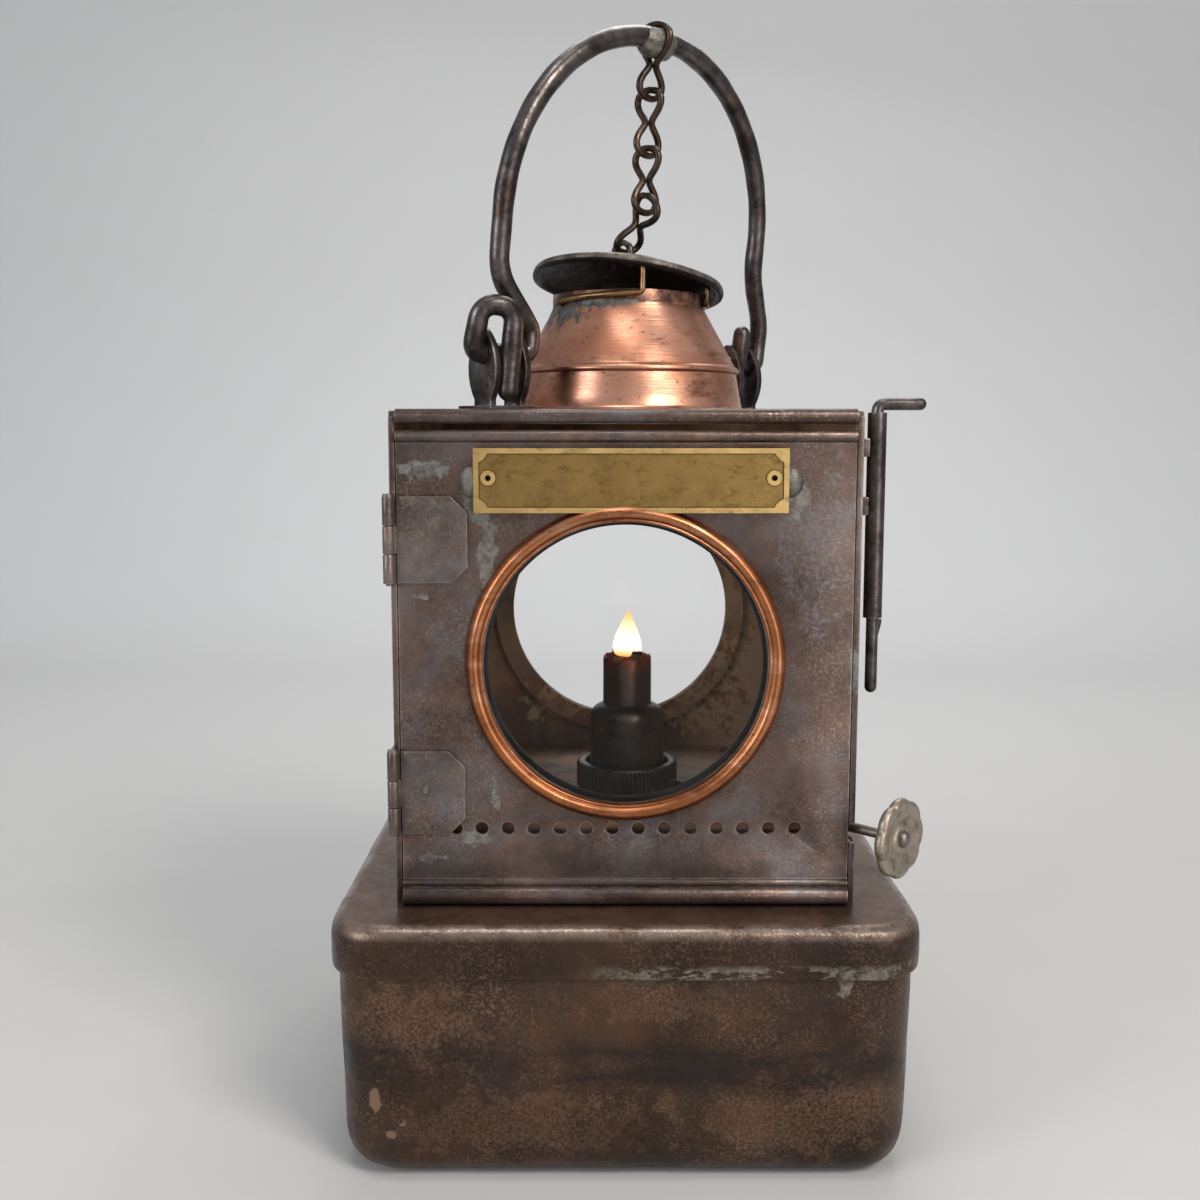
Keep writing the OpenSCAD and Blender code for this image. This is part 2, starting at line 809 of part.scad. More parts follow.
module burner_collar() {
    r = burner_collar_r - 0.4;
    color("#3d352b") difference() {
        translate([axis_x, axis_y, 0]) union() {
            rotate_extrude() polygon([
                [burner_body_r + 0.02, collar_z], [r - 0.5, collar_z],
                [r, collar_z + 0.8], [r, collar_top - 0.7],
                [r - 0.5, collar_top], [r - 1.9, collar_top],
                [r - 2.5, collar_top - 0.6], [r - 2.5, collar_top - 3.2],
                [burner_body_r + 0.02, collar_top - 3.2]
            ]);
            for (k = [0 : knurls - 1]) {
                rotate([0, 0, 360 * k / knurls])
                    translate([r, 0, collar_z + 0.9])
                        cylinder(r = 0.4, h = collar_top - collar_z - 1.7,
                            $fn = 6);
            }
        }
        shaft_frame() cylinder(r = bush_r + 0.05, h = 30);
    }
}

module burner_body() {
    r = burner_body_r;
    top = collar_top + 18.2;
    color("#3d352b") difference() {
        translate([axis_x, axis_y, 0]) rotate_extrude() polygon([
            [r - 1.2, collar_z], [r, collar_z], [r, top - 3.6],
            [r - 0.3, top - 2.2], [r - 1.2, top - 1], [r - 2.6, top - 0.3],
            [wick_tube_r, top], [wick_tube_r, top - 1.2],
            [r - 2.8, top - 1.5], [r - 1.9, top - 2], [r - 1.3, top - 3],
            [r - 1.2, top - 4]
        ]);
        shaft_frame() cylinder(r = shaft_r + 0.6, h = 30);
    }
}

module wick_tube() {
    color("#4d3a2b") translate([axis_x, axis_y, 0]) difference() {
        rod_z(wick_tube_r, collar_top - 1, tube_end);
        rod_z(wick_tube_r - 0.8, collar_top - 2, tube_end + 1);
    }
}

module shaft_bush() {
    color("#3d352b") difference() {
        shaft_frame() translate([0, 0, 8]) cylinder(r = bush_r, h = 13);
        shaft_frame() cylinder(r = shaft_r + shaft_clear, h = 40);
        translate([axis_x, axis_y, 0])
            rod_z(burner_body_r, floor_top - 10, collar_top + 9);
    }
}

module wick_shaft() {
    color("#6e665c") shaft_frame() translate([0, 0, -2.5])
        cylinder(r = shaft_r, h = knob_reach + 2.5);
}

module spur_wheel() {
    color("#8a7040") shaft_frame() difference() {
        union() {
            translate([0, 0, -1.6]) cylinder(r = wheel_r - 0.4, h = 3.2);
            for (k = [0 : 9]) {
                rotate([0, 0, 36 * k]) translate([1.4, -0.35, -1.6])
                    cube([wheel_r - 1.42, 0.7, 3.2]);
            }
        }
        translate([0, 0, -3]) cylinder(r = shaft_r, h = 6);
    }
}

module wick_knob() {
    color("#9a978f") shaft_frame() translate([0, 0, knob_reach - 1.5])
        difference() {
            union() {
                cylinder(r = knob_r - 2.6, h = 3);
                for (k = [0 : 7]) {
                    rotate([0, 0, 45 * k]) translate([knob_r - 3.6, 0, 0])
                        cylinder(r = 3.6, h = 3);
                }
            }
            for (k = [0 : 7]) {
                rotate([0, 0, 45 * k + 22.5])
                    translate([knob_r + 0.4, 0, -1]) cylinder(r = 2, h = 5);
            }
            translate([0, 0, -1]) cylinder(r = shaft_r, h = 2.5);
        }
}

module knob_screw() {
    color("#87837a") shaft_frame() translate([0, 0, knob_reach + 1.5])
        rotate_extrude() polygon([
            [0, 0], [2.25, 0], [2.25, 0.5], [2, 1], [1.4, 1.45],
            [0.7, 1.7], [0, 1.75]
        ]);
}

module wick() {
    color("#d8cdb6") translate([axis_x, axis_y, 0]) rotate([0, 0, -shaft_angle])
        block(-5.5, 5.5, -wick_thick / 2, wick_thick / 2,
            pan_height - 42, tube_end + 1.6);
}

// Bail and chain

module bail() {
    left_path = bent([
        [0, 0, crown_h], [-arch_r, 0, crown_h], [-arch_r, 0, 22],
        [left_leg, 0, 7.2], [left_leg, 0, 0], [curl, 0, 0],
        [curl, -2.2, 13.4], [tail, -6.2, 13.4], [tail, -6.2, -10.6]
    ], [arch_r - 1, 14, 2.95, 2.95, 2.95, 4.4, 4.4], 7);
    right_path = bent([
        [0, 0, crown_h], [arch_r, 0, crown_h], [arch_r, 0, 30],
        [right_leg, 0, 14], [right_leg, 0, 0], [right_tip, 0, 0],
        [right_tip, 0, 11.5]
    ], [arch_r - 1, 30, 20, 2.95, 2.95], 7);
    back = [for (i = [len(left_path) - 1 : -1 : 1]) left_path[i]];
    front = [for (i = [1 : len(right_path) - 1]) right_path[i]];
    color("#4a423d") bail_frame(bail_lean) {
        swept(concat(back, front), rod_r, [0, 1, 0], 16);
        rod_x(journal_r, left_out - lug_thick / 2 - 0.2,
            left_in + lug_thick / 2 + 0.2);
        rod_x(journal_r, right_out - lug_thick / 2 - 0.2,
            right_out + lug_thick / 2 + 0.2);
    }
}

module ring_of(r) {
    rotate_extrude() translate([r, 0]) circle(r = chain_r, $fn = 32);
}

// One link hanging from its upper loop's wire at the origin

module link() {
    translate([0, 0, -loop_r]) rotate([0, 90, 0]) ring_of(loop_r);
    translate([0, 0, -3 * loop_r - 2 * waist]) rotate([90, 0, 0])
        ring_of(loop_r);
}

module chain_link_1() {
    color("#54483e") difference() {
        bail_frame(bail_lean, chain_s) translate([0, 0, link_1_top]) {
            rotate([0, 90, 0]) ring_of(link_1_r);
            translate([0, 0, -link_1_r - loop_r - 2 * waist])
                rotate([90, 0, 0]) ring_of(loop_r);
        }
    }
}

module chain_solder() {
    color("#8c8a80") bail_frame(bail_lean, chain_s) difference() {
        hull() {
            translate([-6, -3.4, crown_h - 5.6]) cube([12.5, 6.4, 0.1]);
            translate([-7.2, -4.6, crown_h - 2]) cube([14.6, 9, 0.1]);
            translate([-5.4, -4.2, crown_h + 1.9]) cube([11.6, 8.2, 0.1]);
        }
        translate([-chain_s, 0, crown_h - arch_r]) rotate([90, 0, 0])
            rotate_extrude() translate([arch_r, 0]) circle(r = journal_r);
        translate([0, 0, link_1_top]) rotate([0, 90, 0])
            rotate_extrude() translate([link_1_r, 0])
                circle(r = chain_r + 0.02);
    }
}

module upper_chain_frame() {
    bail_frame(bail_lean, chain_s) translate([0, 0, link_1_foot])
        rotate([upper_tilt - bail_lean, 0, 0]) children();
}

module chain_link_2() {
    color("#54483e") upper_chain_frame() translate([0, 0, hook]) link();
}

module chain_link_3() {
    color("#54483e") upper_chain_frame()
        translate([0, 0, hook - link_step]) link();
}

module chain_link_4() {
    color("#54483e") bail_frame(0, chain_s)
        translate([0, -staple_o, staple_z - pivot_z])
            rotate([link_4_tilt, 0, 0]) translate([0, 0, link_span]) link();
}

tank_pan();
tank_cover();
burner_neck();
inner_floor();
floor_rivets();
side_wall_left();
side_wall_right();
back_wall();
roof_plate();
rear_glass();
rear_ring();
chimney_collar();
chimney_cone();
chimney_wires();
chimney_cap();
cap_staple();
ear_left();
ear_right();
ear_rivets();
hinge_leaf_upper();
hinge_leaf_lower();
hinge_pins();
bolt_tube();
bolt_brackets();
burner_collar();
burner_body();
wick_tube();
shaft_bush();
front_panel();
strap_upper();
strap_lower();
strap_rivet();
nameplate();
plate_solder();
front_bezel();
front_glass();
glass_ring();
bail();
chain_link_1();
chain_solder();
chain_link_2();
chain_link_3();
chain_link_4();
bolt_rod();
bolt_tang();
wick_shaft();
wick_knob();
knob_screw();
spur_wheel();
wick();
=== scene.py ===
"""A square railway oil lamp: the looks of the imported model, in the model's own frame.

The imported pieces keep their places. Round, bent and pressed pieces are drawn again here as
smooth surfaces over them, and every piece gets the finish of its real metal. Lengths are
written in millimetres and angles in degrees; Blender gets metres.
"""
import math

import bmesh
import bpy
import numpy as np
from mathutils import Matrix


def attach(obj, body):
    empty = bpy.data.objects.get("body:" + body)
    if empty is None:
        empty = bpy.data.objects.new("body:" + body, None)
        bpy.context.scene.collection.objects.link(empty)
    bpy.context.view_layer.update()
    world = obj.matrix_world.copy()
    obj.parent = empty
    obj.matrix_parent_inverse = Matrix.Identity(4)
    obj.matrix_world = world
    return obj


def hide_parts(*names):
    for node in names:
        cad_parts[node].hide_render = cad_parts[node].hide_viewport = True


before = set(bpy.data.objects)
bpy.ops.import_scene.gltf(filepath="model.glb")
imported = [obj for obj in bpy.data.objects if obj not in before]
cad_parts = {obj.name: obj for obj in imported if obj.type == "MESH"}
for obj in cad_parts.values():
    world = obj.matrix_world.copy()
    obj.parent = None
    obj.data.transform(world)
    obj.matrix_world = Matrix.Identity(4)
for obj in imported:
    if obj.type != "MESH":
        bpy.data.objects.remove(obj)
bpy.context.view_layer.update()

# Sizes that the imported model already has, in millimetres and degrees
AXIS = np.array([1.6, -5.3, 0.0])  # where the chimney, burner and bail stand on the lamp

TANK = 163.4  # outside of the cover, which is a little wider than the pan
PAN = 160.0
COVER_TOP = 73.5
SKIRT_FOOT = 58.9

WALL_IN = 61.9  # inner faces of the lamp room: side walls, back wall, door and roof
BACK_IN = 52.0
DOOR_IN = -63.2
ROOF_IN = 209.0
ROOF = 210.4
FRONT = -64.4
WINDOW_Z = 142.0
PLATE_FIELD = -66.4  # the nameplate's sunk field and what stands up from it
PLATE_FACE = -66.8

NECK = 23.0
CAP_R = 29.2
CAP_Z = 249.2
CAP_FRONT_UP = 9.0
CAP_RIGHT_DOWN = 6.4
CAP_WIRE = 1.8
EYE_WIRE = 2.1
EYE_R = 3.35
EYE_Z = 32.0  # above the bail's pivot, as the other heights of bail and chain are

PIVOT_Z = 226.5
BAIL_LEAN = 8.0
CROWN = 92.9
SHOULDER = 55.0
ROD_R = 2.88
PIN_BEND = 2.95  # radius of the rod's tight bends at the ears
LEFT_LUG_IN = 41.1
RIGHT_LUG_OUT = 62.2

CHAIN_AT = -2.2
LINK_WIRE = 2.06
LOOP = 4.5624
TOP_LOOP = 5.55  # the first link's upper loop, which goes round the bail's rod
CHAIN_FOOT = 76.325
CHAIN_LEAN = 3.08
LAST_LINK_LEAN = 38.98

BURNER_FOOT = 91.9
BURNER_R = 11.65
COLLAR_R = 15.6
TUBE_R = 7.6
TUBE_TOP = 134.6

SHAFT_ANGLE = 43.26
SHAFT_SHIFT = 3.68
SHAFT_Z = 94.6
KNOB_AT = 96.78
KNOB_R = 11.25

BOLT_AT = (68.9, -54.0, 0.0)
BOLT_R = 1.68
BOLT_FOOT = 133.9
HANDLE_Z = 212.3
HANDLE = 11.6


# ---------------------------------------------------------------- camera

def look_from(place_mm, down_degrees, focal_px):
    """The photograph's camera: its place, how far it looks down, and its focal length in pixels
    of the 1200 pixel frame."""
    data = bpy.data.cameras.new("photo_camera")
    data.sensor_width = 36.0
    data.lens = 36.0 * focal_px / 1200.0
    data.clip_start = 0.02
    cam = bpy.data.objects.new("photo_camera", data)
    bpy.context.collection.objects.link(cam)
    cam.location = np.array(place_mm) / 1000
    cam.rotation_euler = (math.radians(90 - down_degrees), 0, 0)
    bpy.context.scene.camera = cam


look_from((-7.0, -421.3, 205.0), 7.24, 1330)


# ---------------------------------------------------------------- what a finish is built from

def linear(code):
    """An sRGB hex colour as linear red, green, blue and alpha."""
    v = np.array([int(code[i:i + 2], 16) / 255 for i in (1, 3, 5)])
    v = np.where(v <= 0.04045, v / 12.92, ((v + 0.055) / 1.055) ** 2.4)
    return (*v.tolist(), 1.0)


def add(tree, kind, values=None, links=None, **settings):
    """Adds one node: its settings, the values of its unlinked sockets, and its links."""
    n = tree.nodes.new(kind)
    for key, value in settings.items():
        setattr(n, key, value)
    for key, value in (values or {}).items():
        n.inputs[key].default_value = value
    for key, source in (links or {}).items():
        tree.links.new(source, n.inputs[key])
    return n


def new_material(name):
    """An empty material: (material, its tree, its principled shader)."""
    m = bpy.data.materials.new(name)
    m.use_nodes = True
    tree = m.node_tree
    tree.nodes.clear()
    shader = add(tree, "ShaderNodeBsdfPrincipled")
    add(tree, "ShaderNodeOutputMaterial", links={"Surface": shader.outputs[0]})
    return m, tree, shader


def grain(tree, size_mm, low=0.35, high=0.65, seed=0.0, stretch=(1, 1, 1), detail=5.0, rough=0.6):
    """Patches about size_mm across: 0 below low, 1 above high of a noise on Object coordinates.
    stretch lengthens them along an axis, and seed moves the noise, so that no two agree."""
    place = add(tree, "ShaderNodeTexCoord").outputs["Object"]
    moved = add(tree, "ShaderNodeMapping",
                {"Location": (seed, seed * 0.7, seed * 1.3),
                 "Scale": tuple(1.0 / s for s in stretch)}, {"Vector": place})
    noise = add(tree, "ShaderNodeTexNoise",
                {"Scale": 1000.0 / size_mm, "Detail": detail, "Roughness": rough},
                {"Vector": moved.outputs[0]})
    return add(tree, "ShaderNodeMapRange",
               {"From Min": low, "From Max": high}, {"Value": noise.outputs[0]}).outputs[0]


def band(tree, axis, start_mm, end_mm):
    """A ramp along an axis of the object: 0 at start_mm, 1 at end_mm."""
    place = add(tree, "ShaderNodeTexCoord").outputs["Object"]
    parts = add(tree, "ShaderNodeSeparateXYZ", links={"Vector": place})
    return add(tree, "ShaderNodeMapRange",
               {"From Min": start_mm / 1000, "From Max": end_mm / 1000},
               {"Value": parts.outputs["XYZ".index(axis)]}, clamp=True).outputs[0]


def times(tree, a, b):
    """One mask times another mask or number."""
    n = add(tree, "ShaderNodeMath", links={0: a}, operation="MULTIPLY", use_clamp=True)
    if isinstance(b, (int, float)):
        n.inputs[1].default_value = b
    else:
        tree.links.new(b, n.inputs[1])
    return n.outputs[0]


def over(tree, under, colour, mask):
    """A colour, or a socket of one, laid over another where the mask is 1."""
    n = add(tree, "ShaderNodeMix", links={0: mask}, data_type="RGBA")
    for slot, value in ((6, under), (7, colour)):
        if isinstance(value, str):
            n.inputs[slot].default_value = linear(value)
        else:
            tree.links.new(value, n.inputs[slot])
    return n.outputs[2]


def spot(tree, x, z, wide, high, seed, ragged=1.1):
    """A patch as seen from the front, at any depth: 1 inside an ellipse round x, z in mm. Its
    outline is ragged, because a fine noise is added to the distance from its middle."""
    place = add(tree, "ShaderNodeTexCoord").outputs["Object"]
    near = add(tree, "ShaderNodeMapping", {
        "Location": (-x / wide, 0, -z / high), "Scale": (1000 / wide, 0, 1000 / high)},
        {"Vector": place})
    far = add(tree, "ShaderNodeVectorMath", links={0: near.outputs[0]}, operation="LENGTH")
    edge = between(tree, grain(tree, 0.45 * min(wide, high) + 2.5, 0.3, 0.7, seed), 0, ragged)
    total = add(tree, "ShaderNodeMath", links={0: far.outputs["Value"], 1: edge}, operation="ADD")
    return add(tree, "ShaderNodeMapRange", {"From Min": 1.35, "From Max": 1.15},
               {"Value": total.outputs[0]}, clamp=True).outputs[0]


def either(tree, masks):
    """The greatest of several masks."""
    out = masks[0]
    for mask in masks[1:]:
        out = add(tree, "ShaderNodeMath", links={0: out, 1: mask}, operation="MAXIMUM").outputs[0]
    return out


def indoors(tree):
    """1 on the faces that look into the lamp room, 0 outside: it changes over within the
    thickness of the sheet."""
    place = add(tree, "ShaderNodeTexCoord").outputs["Object"]
    part = add(tree, "ShaderNodeSeparateXYZ", links={"Vector": place})
    aside = add(tree, "ShaderNodeMath", links={0: part.outputs[0]}, operation="ABSOLUTE")
    near = add(tree, "ShaderNodeMapRange",
               {"From Min": (WALL_IN + 0.7) / 1000, "From Max": (WALL_IN + 0.3) / 1000},
               {"Value": aside.outputs[0]}, clamp=True).outputs[0]
    near = times(tree, near, band(tree, "Y", BACK_IN + 0.6, BACK_IN + 0.3))
    near = times(tree, near, band(tree, "Y", DOOR_IN - 0.4, DOOR_IN - 0.1))
    return times(tree, near, band(tree, "Z", ROOF_IN + 0.6, ROOF_IN + 0.3))


def edges(tree, width_mm, full=0.16):
    """1 along outer edges: there a normal rounded off over width_mm leans away from the face's.
    full is how far it leans, as 1 less the cosine, where the mask reaches 1."""
    soft = add(tree, "ShaderNodeBevel", {"Radius": width_mm / 1000}, samples=5).outputs[0]
    face = add(tree, "ShaderNodeNewGeometry").outputs["Normal"]
    same = add(tree, "ShaderNodeVectorMath", links={0: soft, 1: face}, operation="DOT_PRODUCT")
    return add(tree, "ShaderNodeMapRange", {"From Min": 0.985, "From Max": 1 - full},
               {"Value": same.outputs["Value"]}, clamp=True).outputs[0]


def between(tree, mask, low, high):
    """A number that goes from low to high as the mask goes from 0 to 1."""
    return add(tree, "ShaderNodeMapRange", {"To Min": low, "To Max": high},
               {"Value": mask}).outputs[0]


def over_value(tree, under, value, mask):
    """A number, or a socket of one, that turns into another where the mask is 1."""
    n = add(tree, "ShaderNodeMix", links={0: mask}, data_type="FLOAT")
    for slot, number in ((2, under), (3, value)):
        if isinstance(number, (int, float)):
            n.inputs[slot].default_value = number
        else:
            tree.links.new(number, n.inputs[slot])
    return n.outputs[0]


def relief(tree, shader, height, depth_mm, below=None):
    """Bumps of depth_mm, from a height of 0 to 1, on top of other bumps."""
    links = {"Height": height}
    if below is not None:
        links["Normal"] = below
    n = add(tree, "ShaderNodeBump", {"Strength": 1.0, "Distance": depth_mm / 1000}, links)
    tree.links.new(n.outputs[0], shader.inputs["Normal"])
    return n.outputs[0]


def finish_with(tree, shader, colour, roughness, metallic):
    """Gives the shader its colour, roughness and metallic, as numbers or as sockets."""
    for key, value in (("Base Color", colour), ("Roughness", roughness), ("Metallic", metallic)):
        if isinstance(value, (int, float)):
            shader.inputs[key].default_value = value
        else:
            tree.links.new(value, shader.inputs[key])


# ---------------------------------------------------------------- finishes

def oxide_skin(tree, base, pale, scale_grey, rust, seed, rusty, fleck_colour, flecks):
    """The browns of old sheet steel, from the widest clouds to the smallest flecks: clouds of
    the pale tone, blue-grey scale, a fine mottle, rust, flecks and dark dirt, each laid over
    the last. rusty and flecks are how strongly those two show."""
    colour = over(tree, base, pale, times(tree, grain(tree, 34, 0.36, 0.66, seed), 0.75))
    grey = times(tree, grain(tree, 19, 0.48, 0.68, seed + 5.3, rough=0.7), 0.7)
    colour = over(tree, colour, scale_grey, grey)
    fine = grain(tree, 2.4, 0.36, 0.66, seed + 3.1, rough=0.75)
    colour = over(tree, colour, pale, times(tree, fine, 0.4))
    rub = grain(tree, 8, 0.52, 0.7, seed + 8.9, rough=0.8)
    colour = over(tree, colour, rust, times(tree, rub, rusty))
    fleck = times(tree, grain(tree, 0.8, 0.5, 0.62, seed + 1.7, detail=3),
                  grain(tree, 17, 0.4, 0.66, seed + 15.1, rough=0.75))
    colour = over(tree, colour, fleck_colour, times(tree, fleck, flecks))
    dirt = grain(tree, 40, 0.48, 0.72, seed + 12.2)
    return over(tree, colour, "#1a1411", times(tree, dirt, 0.6))


def sooty_paint(tree):
    """Inside the lamp room: soot and rust over pale old paint. Cream shows round the rear
    opening, low on the right, and rust eats its edge. Toward the right, X 20 to 40 mm, it is
    painted paler: painted light on the lit right wall."""
    rust = grain(tree, 13, 0.4, 0.62, 47.0, stretch=(1, 1, 1.8), rough=0.75)
    colour = over(tree, "#77624f", "#93663f", times(tree, rust, 0.75))
    soot = times(tree, grain(tree, 26, 0.44, 0.64, 49.0), 0.8)
    colour = over(tree, colour, "#1f1612", soot)
    # Paler toward the right, X 20 to 40 mm: painted light on the lit right wall of the lamp room
    right = times(tree, band(tree, "X", 20, 40),
                  grain(tree, 20, 0.3, 0.5, 59.0, stretch=(1, 2, 1)))
    colour = over(tree, colour, "#c4b09d", times(tree, right, 0.85))
    pale = either(tree, [spot(tree, 31, 107, 16, 13, 51.0), spot(tree, -22, 109, 15, 8, 52.0),
                         times(tree, spot(tree, 38, 138, 5, 30, 53.0), 0.9)])
    colour = over(tree, colour, "#b8a98f", times(tree, pale, 0.8))
    ring_edge = either(tree, [spot(tree, 30, 118, 24, 28, 57.0),
                              spot(tree, -20, 112, 20, 12, 58.0)])
    bare = times(tree, grain(tree, 3.0, 0.48, 0.56, 56.0, rough=0.8), ring_edge)
    return over(tree, colour, "#7a4a22", times(tree, bare, 0.85))


# Pressed sheet steel with its old paint worn to brown oxide: a satin sheen, blue-grey mill scale
# in clouds, rust where it is thin, and grey smears of solder left by a repair. With marks, a grey
# patch high on the door's right is a painted sheen, and the foot of the lamp room is darker. Its
# edges are rubbed bright, which also paints the highlights they catch. Its inner faces carry the
# paint and soot of the lamp room. The noise of the flecks and pits, 0.8 to 0.9 mm, is drawn
# coarser than real rust, so that it shows.
def worn_housing_steel(name, pale, marks):
    m, tree, shader = new_material(name)
    colour = oxide_skin(tree, "#3d302b", pale, "#62646a", "#6b4a38", 1.0, 0.5, "#9a8571", 0.5)
    rough = between(tree, grain(tree, 6, 0.4, 0.64, 75.0), 0.3, 0.5)
    if marks:
        front = band(tree, "Y", -52, -58)  # the marks lie on the door and the front corners
        # A grey, finely speckled patch high on the door's right: painted sheen, the pale
        # reflection there
        painted_sheen = times(tree, spot(tree, 52, 172, 14, 26, 61.0),
                      grain(tree, 1.4, 0.44, 0.6, 62.0, rough=0.75))
        painted_sheen = times(tree, painted_sheen, front)
        colour = over(tree, colour, "#7f8085", times(tree, painted_sheen, 0.45))
        smears = either(tree, [
            spot(tree, -37.5, 172, 3.2, 14, 63.0), spot(tree, -41, 186, 3.6, 7, 64.0),
            spot(tree, -54, 195, 8, 3.4, 65.0), spot(tree, 46.5, 187, 3.8, 7, 66.0),
            spot(tree, -35.8, 106, 1.6, 5.0, 67.0), spot(tree, -42, 93.5, 6.5, 3.2, 68.0),
            spot(tree, -54, 87.5, 4.6, 1.6, 69.0), spot(tree, -55, 160.6, 6.5, 1.3, 70.0),
            spot(tree, 62.8, 141, 2.4, 9, 71.0)])
        smears = times(tree, smears, front)
        tone = over(tree, "#8a8882", "#55504b", grain(tree, 4, 0.42, 0.62, 72.0, rough=0.8))
        colour = over(tree, colour, tone, times(tree, smears, 0.75))
        rough = over_value(tree, rough, 0.5, smears)
        # Darker towards the foot of the lamp room, below 84 to 92 mm
        stain = times(tree, band(tree, "Z", 92, 84),
                      grain(tree, 16, 0.36, 0.6, 76.0, stretch=(2, 1, 1)))
        colour = over(tree, colour, "#2b1f18", times(tree, stain, 0.75))
    # Bright rubbed edges: wear, and also painted highlights on the edges that catch the light
    worn = times(tree, edges(tree, 0.7), grain(tree, 5, 0.36, 0.56, 77.0, rough=0.75))
    colour = over(tree, colour, "#a39a92", times(tree, worn, 0.8))
    rough = over_value(tree, rough, 0.28, worn)
    inner = indoors(tree)
    colour = over(tree, colour, sooty_paint(tree), inner)
    rough = over_value(tree, rough, 0.7, inner)
    finish_with(tree, shader, colour, rough, over_value(tree, 0.7, 0.0, inner))
    dents = relief(tree, shader, grain(tree, 30, 0.2, 0.8, 20.0, detail=1.0), 0.6)
    relief(tree, shader, grain(tree, 0.9, 0.3, 0.7, 3.0), 0.03, dents)
    return m


# The tank's pressed steel: darker and warmer, nearly black in clouds and in a belt round its
# middle, sprinkled with tan flecks where the paint has gone. The cover's round brow carries a
# painted highlight, paler and smoother, and a grey line of solder runs along the foot of its skirt
# in front.
def worn_tank_steel():
    m, tree, shader = new_material("worn_sheet_steel_tank")
    colour = oxide_skin(tree, "#2c1f19", "#56402f", "#332e30", "#613f2b", 31.0, 0.35,
                        "#8c6d56", 0.55)
    front = band(tree, "Y", -70, -78)
    tan_in_front = either(tree, [
        spot(tree, -60, 46, 26, 14, 33.0), spot(tree, 46, 20, 46, 14, 35.0),
        times(tree, spot(tree, -30, 18, 40, 12, 32.0), 0.8),
        times(tree, spot(tree, 10, 52, 30, 8, 30.0), 0.6)])
    tan_elsewhere = times(tree, grain(tree, 26, 0.42, 0.62, 25.0, rough=0.75), 0.9)
    tan = over_value(tree, tan_elsewhere, tan_in_front, front)
    tan = times(tree, tan, band(tree, "Z", SKIRT_FOOT + 0.6, SKIRT_FOOT - 0.4))
    flecks = times(tree, grain(tree, 0.9, 0.44, 0.66, 34.0, rough=0.8), 0.62)
    colour = over(tree, colour, "#8a6951", times(tree, tan, flecks))
    dark_belt = times(tree, times(tree, band(tree, "Z", 44, 38), band(tree, "Z", 24, 30)),
                      grain(tree, 22, 0.4, 0.6, 29.0, stretch=(2, 2, 0.7)))
    colour = over(tree, colour, "#1f1a1b", times(tree, dark_belt, 0.7))
    top = times(tree, band(tree, "Z", COVER_TOP - 0.3, COVER_TOP + 0.1),
                grain(tree, 18, 0.3, 0.6, 23.0, rough=0.75))
    colour = over(tree, colour, "#7d6151", times(tree, top, 0.75))
    skirt = times(tree, band(tree, "Z", SKIRT_FOOT + 0.6, 61), band(tree, "Z", 71, 69))
    colour = over(tree, colour, "#241712", times(tree, skirt, 0.4))
    flakes = either(tree, [spot(tree, -68, 24, 2.2, 6, 37.0), spot(tree, -61, 17, 1.6, 2.0, 38.0),
                           spot(tree, -64, 14, 2.6, 1.4, 28.0)])
    colour = over(tree, colour, "#8f735c", times(tree, times(tree, flakes, front), 0.75))
    line = times(tree, band(tree, "Z", SKIRT_FOOT - 0.5, SKIRT_FOOT + 0.5),
                 band(tree, "Z", 63.6, 61.8))
    line = times(tree, line, band(tree, "X", -14, 4))
    line = times(tree, line, grain(tree, 4.0, 0.49, 0.53, 39.0, stretch=(2.6, 1, 1), rough=0.8))
    line = times(tree, either(tree, [line, spot(tree, 59, 57, 3.4, 3.0, 40.0)]), front)
    tone = over(tree, "#8a8478", "#4f463d", grain(tree, 2.5, 0.42, 0.62, 27.0, rough=0.8))
    colour = over(tree, colour, tone, times(tree, line, 0.8))
    sheen = grain(tree, 5, 0.38, 0.64, 41.0)
    # The cover's round brow, Z 69.6 to 73.5 mm: a painted highlight, paler, with lower roughness
    painted_brow_highlight = times(tree, band(tree, "Z", 69.6, 72.4),
                 band(tree, "Z", COVER_TOP - 0.01, COVER_TOP - 0.3))
    painted_brow_highlight = times(tree, painted_brow_highlight, grain(tree, 6, 0.34, 0.56, 26.0, stretch=(1.6, 1.6, 1), rough=0.8))
    colour = over(tree, colour, "#a29084", times(tree, painted_brow_highlight, 0.6))
    rough = over_value(tree, between(tree, sheen, 0.28, 0.46), 0.24, painted_brow_highlight)
    finish_with(tree, shader, colour, rough, 0.65)
    dents = relief(tree, shader, grain(tree, 30, 0.2, 0.8, 42.0, detail=1.0), 0.6)
    relief(tree, shader, grain(tree, 0.9, 0.3, 0.7, 43.0), 0.04, dents)
    return m


# The floor of the lamp room: the same paint and soot, brown with spilt oil, and painted
# near-black along its front as painted shade, where it shows through the door's air holes
def lamp_room_paint():
    m, tree, shader = new_material("sooty_old_paint")
    oil = times(tree, grain(tree, 12, 0.4, 0.65, 73.0), 0.6)
    colour = over(tree, sooty_paint(tree), "#735d47", oil)
    # Near-black along the front edge: painted shade
    colour = over(tree, colour, "#0f0c0a", band(tree, "Y", -49, -52))
    finish_with(tree, shader, colour, between(tree, oil, 0.65, 0.35), 0.0)
    relief(tree, shader, grain(tree, 2.2, 0.3, 0.7, 50.0), 0.1)
    return m


housing_steel = worn_housing_steel("worn_sheet_steel_housing", "#766259", True)
# The straps' copy is paler than the housing's, partly painted light, so that the raised straps
# stand out from the door
strap_steel = worn_housing_steel("worn_sheet_steel_straps", "#837670", False)
roof_steel = worn_housing_steel("worn_sheet_steel_roof", "#5f5049", False)
tank_steel = worn_tank_steel()
inner_paint = lamp_room_paint()


